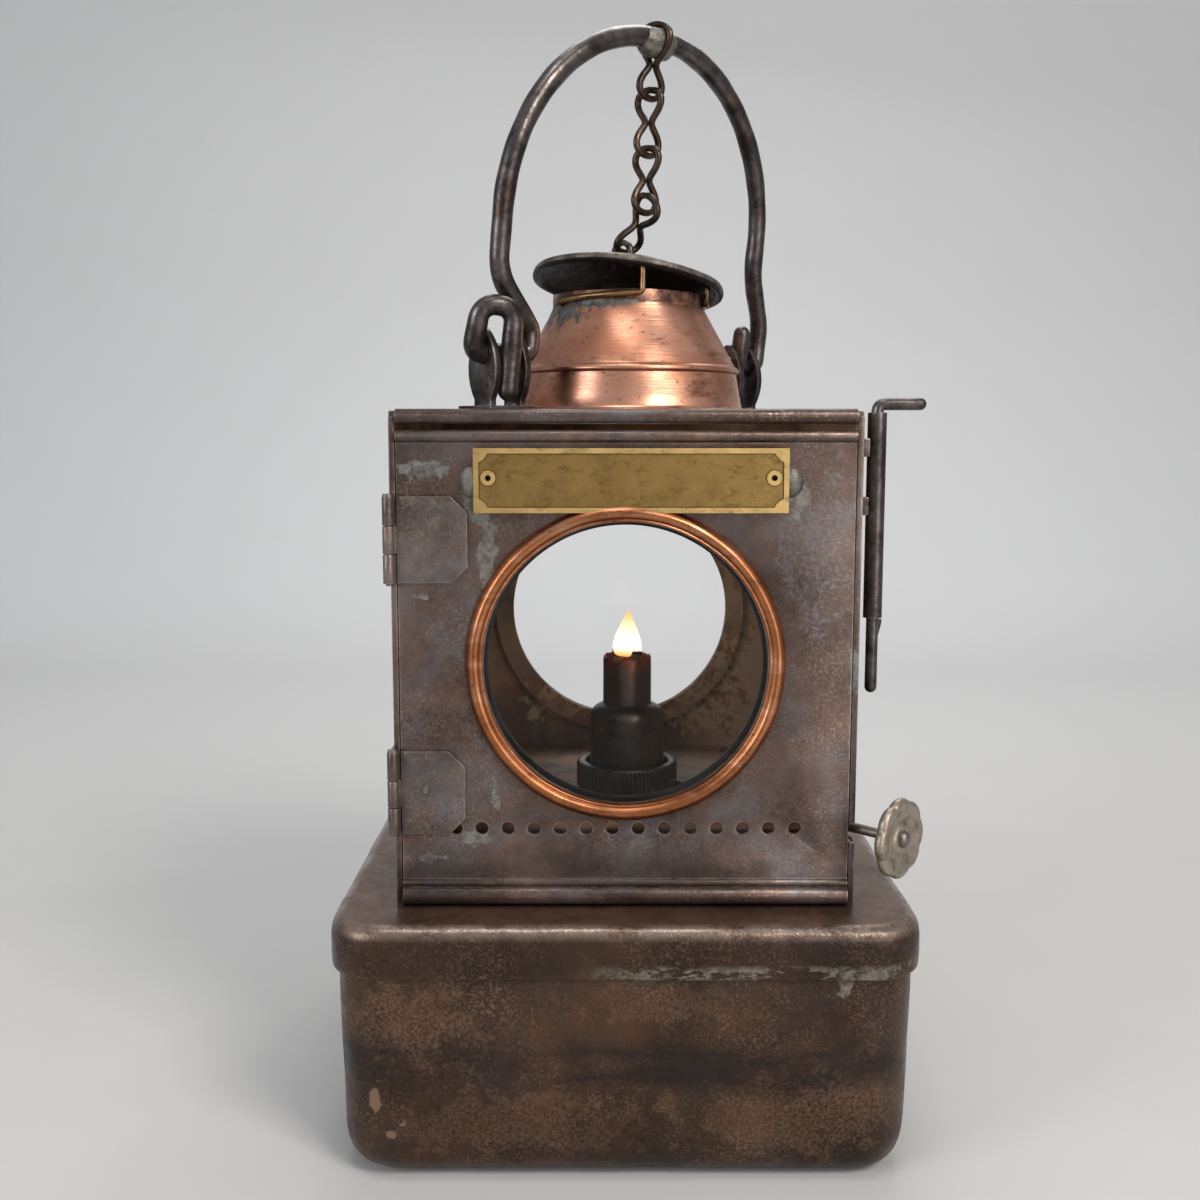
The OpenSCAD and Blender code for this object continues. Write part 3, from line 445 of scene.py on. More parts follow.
# Forged iron rod: dark brown oxide worn to a satin grey, with fine pits here and there
def forged_iron(name, dark, worn_to, seed):
    m, tree, shader = new_material(name)
    worn = grain(tree, 9, 0.38, 0.64, seed, rough=0.75)
    pits = times(tree, grain(tree, 0.6, 0.56, 0.66, seed + 3, detail=3),
                 grain(tree, 12, 0.5, 0.64, seed + 4))
    colour = over(tree, dark, worn_to, times(tree, worn, 0.75))
    colour = over(tree, colour, "#4d3324", times(tree, grain(tree, 6, 0.58, 0.7, seed + 6), 0.5))
    colour = over(tree, colour, "#1c1614", times(tree, pits, 0.7))
    rub = times(tree, edges(tree, 0.6), grain(tree, 4, 0.36, 0.56, seed + 7, rough=0.75))
    colour = over(tree, colour, "#a09893", times(tree, rub, 0.75))
    finish_with(tree, shader, colour, between(tree, worn, 0.4, 0.27), 0.85)
    relief(tree, shader, grain(tree, 5, 0.2, 0.8, seed + 9), 0.12)
    return m


iron = forged_iron("forged_iron", "#322b29", "#746c69", 3.0)
chain_iron = forged_iron("rusted_iron_wire", "#32281f", "#665548", 16.0)


# Steel sheet of the cap, blackened by smoke, with a paler rubbed rim
def smoked_steel(name, dark, rubbed):
    m, tree, shader = new_material(name)
    rub = grain(tree, 5, 0.42, 0.64, 70.0, rough=0.75)
    colour = over(tree, dark, rubbed, times(tree, rub, 0.7))
    finish_with(tree, shader, colour, between(tree, rub, 0.55, 0.36), 0.7)
    relief(tree, shader, grain(tree, 1.4, 0.3, 0.7, 72.0), 0.08)
    return m


cap_steel = smoked_steel("smoked_steel_top", "#4a423d", "#8d847b")
soot_black = smoked_steel("smoked_steel_underside", "#12100f", "#2b2622")


# Spun copper, cleaned and gone brown again in clouds. Fine lines run round it from the lathe,
# drawn 0.9 mm apart, coarser than the tool leaves them, so that they show. with_solder adds the
# chimney's grey solder, a darker band round the neck under the cap, and a dark left side that is
# tarnish together with a painted reflection of the dark ear.
def spun_copper(name, light, dark, with_solder):
    m, tree, shader = new_material(name)
    cloud = grain(tree, 16, 0.42, 0.66, 80.0, stretch=(1.6, 1.6, 0.8))
    streak = grain(tree, 6, 0.5, 0.7, 83.0, stretch=(3.0, 3.0, 0.7))
    line = grain(tree, 0.9, 0.3, 0.7, 85.0, stretch=(12, 12, 0.5), detail=2)
    colour = over(tree, light, dark, times(tree, cloud, 0.7))
    colour = over(tree, colour, "#dcae95", times(tree, streak, 0.35))
    stain = grain(tree, 6, 0.54, 0.68, 87.0, stretch=(2, 2, 0.8), rough=0.75)
    colour = over(tree, colour, "#5d3423", times(tree, stain, 0.65))
    spots = grain(tree, 1.6, 0.62, 0.68, 88.0)
    colour = over(tree, colour, "#3f2a20", times(tree, spots, 0.6))
    rough = between(tree, cloud, 0.3, 0.4)
    if with_solder:
        lead = either(tree, [spot(tree, -17.5, 239.5, 8.5, 4.0, 93.0),
                             spot(tree, -6, 241.8, 12, 1.6, 94.0)])
        # A darker band round the neck, Z 240.9 to 242.2 mm, under the cap
        soot = times(tree, band(tree, "Z", 240.9, 242.2), grain(tree, 6, 0.26, 0.5, 95.0))
        # The dark left side, X -20 to -34 mm: tarnish together with a painted reflection of the
        # dark ear beside it
        side = times(tree, band(tree, "X", -20, -34), grain(tree, 9, 0.35, 0.6, 96.0))
        colour = over(tree, colour, "#2a2320", times(tree, soot, 0.85))
        tone = over(tree, "#83807a", "#4f4d4a", grain(tree, 4, 0.4, 0.62, 98.0, rough=0.8))
        colour = over(tree, colour, tone, lead)
        colour = over(tree, colour, "#33241d", times(tree, side, 0.85))
        rough = over_value(tree, rough, 0.55, lead)
    finish_with(tree, shader, colour, rough, 1.0)
    dent = relief(tree, shader, grain(tree, 15, 0.2, 0.8, 97.0, detail=1.0), 0.35)
    relief(tree, shader, line, 0.018, dent)
    return m


copper = spun_copper("spun_copper_chimney", "#d29a80", "#a8694b", True)
bezel_copper = spun_copper("spun_copper_ring", "#b0714b", "#7a4527", False)


# Turned brass of the burner, blackened by heat: a satin black that is brown where it is rubbed,
# with red-brown chips at the rim of the wick tube
def burnt_brass():
    m, tree, shader = new_material("burnt_brass")
    rub = grain(tree, 9, 0.46, 0.68, 101.0, stretch=(1.5, 1.5, 1), rough=0.7)
    dust = grain(tree, 0.7, 0.6, 0.68, 103.0, detail=3)
    colour = over(tree, "#403a36", "#76695a", times(tree, rub, 0.6))
    colour = over(tree, colour, "#6f6353", times(tree, dust, 0.5))
    colour = over(tree, colour, "#5a4438", times(tree, band(tree, "Z", 119.5, 124), 0.6))
    chips = times(tree, band(tree, "Z", 129.4, 134.0),
                  grain(tree, 3.0, 0.42, 0.52, 105.0, rough=0.8))
    colour = over(tree, colour, "#9c4b2a", chips)
    colour = over(tree, colour, "#8f7a5c", times(tree, edges(tree, 0.5), 0.6))
    finish_with(tree, shader, colour, between(tree, rub, 0.36, 0.28), 0.85)
    relief(tree, shader, grain(tree, 12, 0.3, 0.7, 104.0, detail=1.0), 0.15)
    return m


burner_brass = burnt_brass()


# Stamped brass plate: rolled brass dulled to olive in its field, rubbed bright on what stands up
def plate_brass():
    m, tree, shader = new_material("stamped_brass")
    raised = band(tree, "Y", PLATE_FIELD, PLATE_FACE)
    cloud = grain(tree, 9, 0.4, 0.66, 110.0)
    field = over(tree, "#ae8c54", "#7c6238", times(tree, cloud, 0.8))
    sunk = add(tree, "ShaderNodeMath", {0: 1.0}, {1: raised}, operation="SUBTRACT").outputs[0]
    field = over(tree, field, "#33261a", times(tree, edges(tree, 0.7, 0.1), sunk))
    colour = over(tree, field, "#dcb878", raised)
    dirt = grain(tree, 2.5, 0.52, 0.68, 112.0, stretch=(2, 1, 1), rough=0.8)
    colour = over(tree, colour, "#44341f", times(tree, dirt, 0.55))
    finish_with(tree, shader, colour, between(tree, cloud, 0.32, 0.42), 1.0)
    relief(tree, shader, grain(tree, 0.7, 0.3, 0.7, 114.0, stretch=(8, 1, 1)), 0.02)
    return m


plate_metal = plate_brass()


# Drawn brass wire, smoked brown
def smoked_brass():
    m, tree, shader = new_material("drawn_brass_wire")
    cloud = grain(tree, 4, 0.4, 0.65, 120.0)
    colour = over(tree, "#a07e58", "#4c3826", times(tree, cloud, 0.85))
    finish_with(tree, shader, colour, 0.3, 1.0)
    return m


wire_brass = smoked_brass()


# Plumber's solder: grey, lumpy and dull, with brown dirt in it
def old_solder():
    m, tree, shader = new_material("old_solder")
    dirt = grain(tree, 3.5, 0.45, 0.65, 130.0)
    colour = over(tree, "#6f6c66", "#373029", times(tree, dirt, 0.75))
    finish_with(tree, shader, colour, between(tree, dirt, 0.42, 0.6), 0.6)
    relief(tree, shader, grain(tree, 2.0, 0.25, 0.75, 132.0), 0.3)
    return m


solder = old_solder()


# Cast white metal of the knob, greyed, with brown in its hollows
def white_metal():
    m, tree, shader = new_material("cast_white_metal")
    dirt = grain(tree, 3.0, 0.48, 0.66, 140.0)
    colour = over(tree, "#968b7c", "#584a3d", times(tree, dirt, 0.7))
    finish_with(tree, shader, colour, between(tree, dirt, 0.34, 0.5), 0.75)
    relief(tree, shader, grain(tree, 1.0, 0.3, 0.7, 142.0), 0.06)
    return m


knob_metal = white_metal()


# Steel wire and screws: grey with a brown film
def filmed_steel():
    m, tree, shader = new_material("filmed_steel")
    film = grain(tree, 3.0, 0.42, 0.64, 150.0)
    colour = over(tree, "#837b73", "#4d3f35", times(tree, film, 0.7))
    finish_with(tree, shader, colour, between(tree, film, 0.34, 0.5), 0.85)
    return m


small_steel = filmed_steel()


# Clear window glass with a little dust: each face mirrors faintly and lets the rest through
def window_glass():
    m, tree, shader = new_material("window_glass")
    dust = grain(tree, 7, 0.4, 0.8, 160.0, rough=0.75)
    shader.inputs["Base Color"].default_value = linear("#eef2f1")
    shader.inputs["Metallic"].default_value = 1.0
    tree.links.new(between(tree, dust, 0.03, 0.12), shader.inputs["Roughness"])
    tree.links.new(between(tree, dust, 0.007, 0.014), shader.inputs["Alpha"])
    return m


glass = window_glass()


# Woven cotton wick, soaked and charred black at its top
def cotton_wick():
    m, tree, shader = new_material("cotton_wick")
    char = band(tree, "Z", 133.0, 135.6)
    weave = grain(tree, 0.9, 0.35, 0.65, 170.0, stretch=(1, 1, 1.6))
    colour = over(tree, "#b8a888", "#8f8064", weave)
    colour = over(tree, colour, "#14110f", char)
    finish_with(tree, shader, colour, 0.9, 0.0)
    relief(tree, shader, weave, 0.2)
    return m


wick_cotton = cotton_wick()


# A flame: it shines pale yellow in the middle and orange toward its tip and its foot
def burning():
    m, tree, shader = new_material("flame")
    colour = over(tree, "#fff1d2", "#ffa84a", band(tree, "Z", 141.0, 148.5))
    colour = over(tree, colour, "#ff9d45", band(tree, "Z", 137.4, TUBE_TOP))
    shader.inputs["Base Color"].default_value = linear("#000000")
    shader.inputs["Roughness"].default_value = 1.0
    tree.links.new(colour, shader.inputs["Emission Color"])
    shader.inputs["Emission Strength"].default_value = 1.6
    return m


flame_light = burning()


# ---------------------------------------------------------------- how a piece is made

def wear(obj, material):
    """Gives an object one material on all its faces."""
    if obj.data.materials:
        for k in range(len(obj.data.materials)):
            obj.data.materials[k] = material
    else:
        obj.data.materials.append(material)


def surface(name, points_mm, material, body, stands_for=(), close_u=False, close_v=False):
    """A piece from a grid of points, rows u by columns v, in millimetres. close_u and close_v
    join the last row or column to the first. Doubled points at poles are merged, and the
    faces are turned outwards."""
    p = np.asarray(points_mm, dtype=float)
    nu, nv = p.shape[:2]
    index = np.arange(nu * nv).reshape(nu, nv)
    rows = np.concatenate([index, index[:1]]) if close_u else index
    rows = np.concatenate([rows, rows[:, :1]], axis=1) if close_v else rows
    faces = np.stack([rows[:-1, :-1], rows[1:, :-1], rows[1:, 1:], rows[:-1, 1:]], axis=-1)
    mesh = bpy.data.meshes.new(name)
    mesh.from_pydata(p.reshape(-1, 3) / 1000, [], faces.reshape(-1, 4).tolist())
    work = bmesh.new()
    work.from_mesh(mesh)
    bmesh.ops.remove_doubles(work, verts=work.verts, dist=1e-6)
    bmesh.ops.recalc_face_normals(work, faces=work.faces)
    work.to_mesh(mesh)
    work.free()
    mesh.polygons.foreach_set("use_smooth", np.ones(len(mesh.polygons), dtype=bool))
    obj = bpy.data.objects.new(name, mesh)
    bpy.context.collection.objects.link(obj)
    wear(obj, material)
    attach(obj, body)
    if stands_for:
        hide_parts(*stands_for)
    return obj


def round_edges(obj, radius_mm):
    """A small bevel on every edge sharper than 40 degrees."""
    bevel = obj.modifiers.new("rounded", "BEVEL")
    bevel.width = radius_mm / 1000
    bevel.segments = 2
    bevel.limit_method = "ANGLE"
    bevel.angle_limit = math.radians(40)


def soften(obj):
    """Edges sharper than 30 degrees stay crisp, and the rest is shaded smooth."""
    obj.data.polygons.foreach_set("use_smooth", np.ones(len(obj.data.polygons), dtype=bool))
    split = obj.modifiers.new("crisp", "EDGE_SPLIT")
    split.split_angle = math.radians(30)


def dress(node, material, bevel_mm=0.0, smooth=False):
    """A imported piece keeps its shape: its loose triangles are welded, its edges rounded a
    little, and it gets its finish."""
    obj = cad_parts[node]
    wear(obj, material)
    weld = obj.modifiers.new("weld", "WELD")
    weld.merge_threshold = 1e-6
    if bevel_mm:
        round_edges(obj, bevel_mm)
    if smooth:
        soften(obj)


def eased(points, steps=8):
    """A smooth profile through given points: a Catmull-Rom curve, where each stretch is a cubic
    whose slopes come from its neighbours."""
    p = np.asarray(points, dtype=float)
    q = np.concatenate([2 * p[:1] - p[1:2], p, 2 * p[-1:] - p[-2:-1]])
    t = (np.arange(steps) / steps)[None, :, None]
    a, b, c, d = (q[k:len(q) - 3 + k, None, :] for k in range(4))
    curve = 0.5 * (2 * b + (c - a) * t + (2 * a - 5 * b + 4 * c - d) * t ** 2
                   + (3 * b - a - 3 * c + d) * t ** 3)
    return np.concatenate([curve.reshape(-1, p.shape[1]), p[-1:]])


def turned(profile, sides=128, wobble=None):
    """A lathe shape round Z: each profile point (radius, height) swept through a full turn.
    wobble(angle, radius, height) adds to the radius."""
    prof = np.asarray(profile, dtype=float)
    a = np.linspace(0, 2 * np.pi, sides, endpoint=False)[:, None]
    r = np.repeat(prof[None, :, 0], sides, axis=0)
    z = np.repeat(prof[None, :, 1], sides, axis=0)
    if wobble is not None:
        r = np.where(r > 0.5, r + wobble(a, r, z), r)
    return np.stack([r * np.cos(a), r * np.sin(a), z], axis=-1)


def rod_along(path, radius, sides=20, side_way=(0, 1, 0)):
    """A round rod along a path: at each point a circle stands square to the path, its first
    spoke taken from side_way less its part along the path. Its ends close in a half ball,
    where the circles rise by a sine and shrink by a cosine."""
    p = np.asarray(path, dtype=float)
    r = np.broadcast_to(np.asarray(radius, dtype=float), (len(p),))
    first = (p[0] - p[1]) / np.linalg.norm(p[0] - p[1])
    last = (p[-1] - p[-2]) / np.linalg.norm(p[-1] - p[-2])
    rise = np.sin(np.linspace(0, np.pi / 2, 7))[1:, None]
    thin = np.cos(np.linspace(0, np.pi / 2, 7))[1:]
    p = np.concatenate([(p[0] + first * r[0] * rise)[::-1], p, p[-1] + last * r[-1] * rise])
    r = np.concatenate([(r[0] * thin)[::-1], r, r[-1] * thin])
    t = np.gradient(p, axis=0)
    t /= np.linalg.norm(t, axis=1, keepdims=True)
    way = np.broadcast_to(np.asarray(side_way, dtype=float), p.shape)
    m = way - t * np.sum(way * t, axis=1, keepdims=True)
    m /= np.linalg.norm(m, axis=1, keepdims=True)
    b = np.cross(t, m)
    a = np.linspace(0, 2 * np.pi, sides, endpoint=False)[None, :, None]
    return p[:, None] + r[:, None, None] * (m[:, None] * np.cos(a) + b[:, None] * np.sin(a))


def bent(points, radii, steps=8):
    """A path of straight runs joined by arcs: at each corner an arc of the given radius that
    touches both runs."""
    p = [np.asarray(q, dtype=float) for q in points]
    out = [p[0][None]]
    for k, r in enumerate(radii, start=1):
        u = (p[k - 1] - p[k]) / np.linalg.norm(p[k - 1] - p[k])
        v = (p[k + 1] - p[k]) / np.linalg.norm(p[k + 1] - p[k])
        half = math.acos(np.clip(u @ v, -1, 1)) / 2
        centre = p[k] + (u + v) / np.linalg.norm(u + v) * r / math.sin(half)
        w = p[k] + u * r / math.tan(half) - centre
        e = p[k] + v * r / math.tan(half) - centre
        q = e - w * (w @ e) / (r * r)
        q *= r / np.linalg.norm(q)
        a = np.linspace(0, math.pi - 2 * half, steps * (4 if r > 40 else 1) + 1)[:, None]
        out.append(centre + w * np.cos(a) + q * np.sin(a))
    out.append(p[-1][None])
    return np.concatenate(out)


def evenly(path, step_mm):
    """The same path with points about every step_mm along it."""
    s = np.concatenate([[0], np.cumsum(np.linalg.norm(np.diff(path, axis=0), axis=1))])
    at = np.linspace(0, s[-1], max(3, int(s[-1] / step_mm)))
    return np.stack([np.interp(at, s, path[:, k]) for k in range(3)], axis=1)


def turn_z(p, degrees):
    """Points turned about Z, by the cosine and sine of the angle."""
    c, s = math.cos(math.radians(degrees)), math.sin(math.radians(degrees))
    return p @ np.array([[c, s, 0], [-s, c, 0], [0, 0, 1.0]])


def turn_x(p, degrees):
    """Points turned about X, by the cosine and sine of the angle."""
    c, s = math.cos(math.radians(degrees)), math.sin(math.radians(degrees))
    return p @ np.array([[1.0, 0, 0], [0, c, s], [0, -s, c]])


def turn_y(p, degrees):
    """Points turned about Y, by the cosine and sine of the angle."""
    c, s = math.cos(math.radians(degrees)), math.sin(math.radians(degrees))
    return p @ np.array([[c, 0, -s], [0, 1.0, 0], [s, 0, c]])


def on_bail(p, lean=BAIL_LEAN):
    """From the bail's frame, X along its pivot, to the lamp's."""
    return turn_z(turn_x(p, lean), 45) + AXIS + (0, 0, PIVOT_Z)


def on_shaft(p):
    """From the wick shaft's frame, Z along the shaft, to the lamp's."""
    q = turn_y(np.asarray(p, dtype=float), 90) + (0, SHAFT_SHIFT, 0)
    return turn_z(q, -SHAFT_ANGLE) + AXIS + (0, 0, SHAFT_Z)


def ripple(x, y, z, seed=0.0):
    """Hand-worked unevenness: a sum of slow waves in three directions, about -1 to 1."""
    return (np.sin(x * 0.11 + y * 0.05 + seed) + np.sin(y * 0.13 - z * 0.09 + seed * 2.1)
            + np.sin(z * 0.17 + x * 0.07 - seed * 1.3) + np.sin((x + y + z) * 0.23 + seed)) / 4


# ---------------------------------------------------------------- tank

def square_ring(half, corner, count=48):
    """A square outline with round corners: straight sides between four quarter circles."""
    a = np.linspace(0, np.pi / 2, 13)
    arcs = [np.stack([np.cos(a + k * np.pi / 2), np.sin(a + k * np.pi / 2)], axis=1) * corner
            + np.array([[1, 1], [-1, 1], [-1, -1], [1, -1]][k]) * (half - corner)
            for k in range(4)]
    sides = []
    for k in range(4):
        start, end = arcs[k][-1], arcs[(k + 1) % 4][0]
        f = np.linspace(0, 1, count)[1:-1, None]
        sides += [arcs[k], start + (end - start) * f]
    return np.concatenate(sides)


def square_shell(insets, heights, half, corner, seed, uneven):
    """A square vessel: the outline drawn in by each inset at each height. Its sides dip by up
    to twice uneven in slow ripples, as pressed sheet does."""
    rings = []
    for inset, z in zip(insets, heights):
        h = max(half - inset, 0.01)
        ring = square_ring(h, min(max(corner - inset, 0.5 * h, 0.004), h * 0.98)
                           if inset > corner * 0.9 else corner - inset * 0.6)
        p = np.column_stack([ring, np.full(len(ring), float(z))])
        if inset < 12:
            out = p[:, :2] / np.linalg.norm(p[:, :2], axis=1, keepdims=True)
            push = uneven * ripple(p[:, 0], p[:, 1], p[:, 2], seed) - uneven
            p[:, :2] += out * push[:, None] * min(1.0, h / 20)
        rings.append(p)
    return np.stack(rings, axis=1)


# The insets and heights run from the middle of the foot up the outside to the middle of the top,
# and the cover's from the middle of its underside round its skirt
pan_heights = [0, 0, 0.02, 0.3, 1.4, 3.2, 5.6, 8.4, 11.2, 16, 26, 38, 50, 60, 68, 71.8, 71.8, 71.8]
pan_insets = [79.9, 40, 14, 9.6, 6.2, 3.9, 2.35, 1.5, 1.15, 1.0, 0.75, 0.5, 0.3, 0.15, 0.05,
              0.0, 40, 79.9]
surface("tank_pan_skin", square_shell(pan_insets, pan_heights, PAN / 2, 15, 1.0, 0.3),
        tank_steel, "lamp_body", ["tank_pan"], close_u=True)

cover_insets = [81.6, 30, 1.6, 1.5, 1.2, 0.6, 0.25, 0.15, 0.0, 0.0, 0.25, 0.8, 1.7, 2.9, 4.2,
                6.5, 12, 30, 60, 81.6]
cover_heights = [72.05, 72.05, 72.05, 60.2, 59.1, SKIRT_FOOT, 59.2, 60.2, 63, 68.2, 70.2, 71.6,
                 72.6, 73.2, 73.45] + 5 * [COVER_TOP]
surface("tank_cover_skin", square_shell(cover_insets, cover_heights, TANK / 2, 15.5, 4.0, 0.28),
        tank_steel, "lamp_body", ["tank_cover"], close_u=True)

# ---------------------------------------------------------------- housing and door

for name in ("side_wall_left", "side_wall_right", "back_wall"):
    dress(name, housing_steel, 0.25, smooth=True)
dress("roof_plate", roof_steel, 0.25, smooth=True)
for name in ("hinge_leaf_upper", "hinge_leaf_lower", "strap_upper", "strap_lower"):
    dress(name, strap_steel, 0.22, smooth=True)
dress("front_panel", housing_steel, 0.12, smooth=True)
dress("inner_floor", inner_paint)
dress("rear_ring", inner_paint, smooth=True)
dress("glass_ring", inner_paint, smooth=True)
dress("burner_neck", burner_brass, smooth=True)
for name in ("floor_rivets", "ear_rivets", "hinge_pins", "strap_rivet", "knob_screw",
             "wick_shaft"):
    dress(name, small_steel, smooth=True)
for name in ("ear_left", "ear_right", "bolt_brackets", "bolt_tang"):
    dress(name, iron, 0.3, smooth=True)
dress("bolt_tube", iron, smooth=True)
dress("front_glass", glass, smooth=True)
dress("rear_glass", glass, smooth=True)
dress("nameplate", plate_metal)
dress("plate_solder", solder, smooth=True)
dress("spur_wheel", burner_brass)
dress("shaft_bush", burner_brass, smooth=True)
dress("wick", wick_cotton, 0.3)
dress("chimney_collar", copper, smooth=True)

# The copper ring's section: distance from the window's middle, and height on the door
ring_profile = eased([[38.8, 0], [38.82, 1.3], [38.95, 2.05], [39.3, 2.3], [39.62, 2.2],
                      [39.85, 2.45], [40.4, 2.95], [41.1, 3.17], [41.8, 3.1], [42.5, 2.6],
                      [43.0, 1.95], [43.4, 1.1], [43.6, 0.5], [43.65, 0.02]])
ring_profile = np.concatenate([ring_profile, [[43.0, 0.0], [38.8, 0.0]]])
bezel = turned(ring_profile, 192, lambda a, r, z: 0.05 * np.sin(5 * a) + 0.04 * np.sin(11 * a))
bezel = np.stack([bezel[..., 0], FRONT - bezel[..., 2], WINDOW_Z + bezel[..., 1]], axis=-1)
surface("front_ring", bezel, bezel_copper, "door", ["front_bezel"], close_u=True, close_v=True)

# ---------------------------------------------------------------- chimney, cap and wires

cone_line = eased([[33.2, 222.0], [33.75, 222.35], [33.95, 222.9], [33.8, 223.5], [33.3, 224.05],
                   [32.7, 224.5], [31.9, 226.0], [30.3, 229.0], [28.4, 232.3], [26.5, 235.6],
                   [24.7, 238.8], [23.6, 240.9], [23.05, 242.3], [23.0, 244.2], [23.0, 246.0]], 6)
inner_line = cone_line[::-1] - [1.1, 0]
cone = turned(np.concatenate([cone_line, inner_line]), 160,
              lambda a, r, z: 0.12 * np.sin(3 * a + 0.4) + 0.08 * np.sin(7 * a + z * 0.3))
surface("chimney_skin", cone + AXIS, copper, "lamp_body", ["chimney_cone"],
        close_u=True, close_v=True)


def on_cap(p):
    """From the cap's frame to the lamp's: tilted front up and right side down."""
    return turn_x(turn_y(p, CAP_RIGHT_DOWN), -CAP_FRONT_UP) + AXIS + (0, 0, CAP_Z)


cap_line = eased([[0.01, 7.2], [5, 7.0], [10, 6.5], [15, 5.5], [20, 4.0], [24, 2.4], [26.7, 1.4],
                  [28.2, 1.35], [28.95, 0.9], [29.2, 0], [28.95, -0.9], [28.3, -1.35],
                  [27.3, -1.3], [26.6, -0.7], [25.9, 0.1], [23.8, 1.3], [19.8, 2.9], [14.9, 4.4],
                  [10, 5.4], [5, 5.9], [0.01, 6.1]], 5)
cap = turned(cap_line, 144, lambda a, r, z: (r / CAP_R) ** 4 * (
    0.18 * np.sin(4 * a + 1) + 0.12 * np.sin(9 * a)))
# Its rim is knocked up and down by a quarter of a millimetre, three times round
cap[..., 2] += (np.hypot(cap[..., 0], cap[..., 1]) / CAP_R) ** 3 * 0.25 * np.sin(
    3 * np.arctan2(cap[..., 1], cap[..., 0]) + 2)
cap_obj = surface("cap_skin", on_cap(cap), cap_steel, "lamp_body", ["chimney_cap"], close_u=True)
# The faces that look down are black with soot
cap_obj.data.materials.append(soot_black)
normals = np.empty(3 * len(cap_obj.data.polygons))
cap_obj.data.polygons.foreach_get("normal", normals)
up_the_cap = on_cap(np.array([0, 0, 1.0])) - on_cap(np.zeros(3))
under = (normals.reshape(-1, 3) @ up_the_cap < -0.25).astype(np.int32)
cap_obj.data.polygons.foreach_set("material_index", under)


def wire_leg(a0, a1, z0, z1, out):
    """A wire that lies round the neck from angle a0 to a1, rising from z0 to z1, and then turns
    up to the cap's underside."""
    f = np.linspace(0, 1, 20)
    a = np.radians(a0 + (a1 - a0) * f)
    lie = NECK + 0.95
    foot = np.stack([lie * np.cos(a), lie * np.sin(a), z0 + (z1 - z0) * f], axis=1)
    x, y = (NECK + out) * np.cos(a[-1]), (NECK + out) * np.sin(a[-1])
    top = np.array([x, y, CAP_Z + 0.1 - y * math.sin(math.radians(CAP_FRONT_UP))
                    - x * math.sin(math.radians(CAP_RIGHT_DOWN))])
    return np.concatenate([foot[:-4], bent([foot[-4], foot[-1], top], [1.4])])


legs = {"front": wire_leg(205, 279, 243.2, 244.9, 1.5),
        "right": wire_leg(10, -14, 243.4, 242.8, 1.6),
        "back": wire_leg(140, 112, 243.4, 242.8, 1.6)}
for side, leg in legs.items():
    wire = rod_along(evenly(leg, 0.5), CAP_WIRE / 2, 14, (0, 0, 1)) + AXIS
    surface(f"cap_wire_{side}", wire, wire_brass, "lamp_body", ["chimney_wires"], close_v=True)

# The eye on the cap: half a circle between two short straight feet
arch = np.linspace(0, np.pi, 24)
eye = np.stack([np.full(24, CHAIN_AT), 0.3 + EYE_R * np.cos(arch), EYE_Z + EYE_R * np.sin(arch)],
               axis=1)
feet = np.array([[CHAIN_AT, 0.3 + EYE_R, EYE_Z - 3.4], [CHAIN_AT, 0.3 - EYE_R, EYE_Z - 3.4]])
eye = np.concatenate([feet[:1], eye, feet[1:]])
surface("cap_eye", on_bail(rod_along(eye, EYE_WIRE / 2, 16, (1, 0, 0)), 0), iron, "lamp_body",
        ["cap_staple"], close_v=True)
washer = turned([[0.01, 6.9], [3.8, 6.9], [5.4, 6.75], [5.9, 7.2], [5.4, 7.55], [3.6, 7.65],
                 [0.01, 7.7]], 48)
surface("cap_eye_foot", on_cap(washer), iron, "lamp_body", ["cap_staple"], close_u=True)

# A fillet of solder run round the foot of the chimney
angle = np.linspace(0, 2 * np.pi, 180, endpoint=False)[:, None]
lump = 0.75 + 0.35 * np.sin(7 * angle + 1) * np.sin(3 * angle) + 0.2 * np.sin(17 * angle)
turn = np.linspace(0, 2 * np.pi, 10, endpoint=False)[None]
fillet_r = 36.6 + lump * 1.3 * np.cos(turn)
fillet = np.stack([fillet_r * np.cos(angle), fillet_r * np.sin(angle),
                   ROOF + 0.15 + lump * 0.7 * np.sin(turn)], axis=-1) + AXIS
surface("chimney_solder", fillet, solder, "lamp_body", close_u=True, close_v=True)

# ---------------------------------------------------------------- bail and chain

# Left: down inside the lugs, out through both as the pin, up, over and down between them.
# Right: down outside the lugs, in through one as the pin, and up.
left_leg = bent([[0, 0, CROWN], [-SHOULDER, 0, CROWN], [-SHOULDER, 0, 22],
                 [-LEFT_LUG_IN, 0, 7.2], [-LEFT_LUG_IN, 0, 0], [-62, 0, 0], [-62, -2.2, 13.4],
                 [-53.2, -6.2, 13.4], [-53.2, -6.2, -9.6]],
                [SHOULDER - 1, 14, PIN_BEND, PIN_BEND, PIN_BEND, 4.4, 4.4])
right_leg = bent([[0, 0, CROWN], [SHOULDER, 0, CROWN], [SHOULDER, 0, 30],
                  [RIGHT_LUG_OUT, 0, 14], [RIGHT_LUG_OUT, 0, 0], [53.4, 0, 0], [53.4, 0, 10.6]],
                 [SHOULDER - 1, 30, 20, PIN_BEND, PIN_BEND])
bail_line = evenly(np.concatenate([left_leg[::-1], right_leg[1:]]), 0.8)
along = np.linspace(0, 1, len(bail_line))
bail_radius = ROD_R + 0.06 * np.sin(along * 61) + 0.05 * np.sin(along * 173 + 1)
surface("bail_rod", on_bail(rod_along(bail_line, bail_radius, 24, (0, 1, 0))), iron, "bail",
        ["bail"], close_v=True)


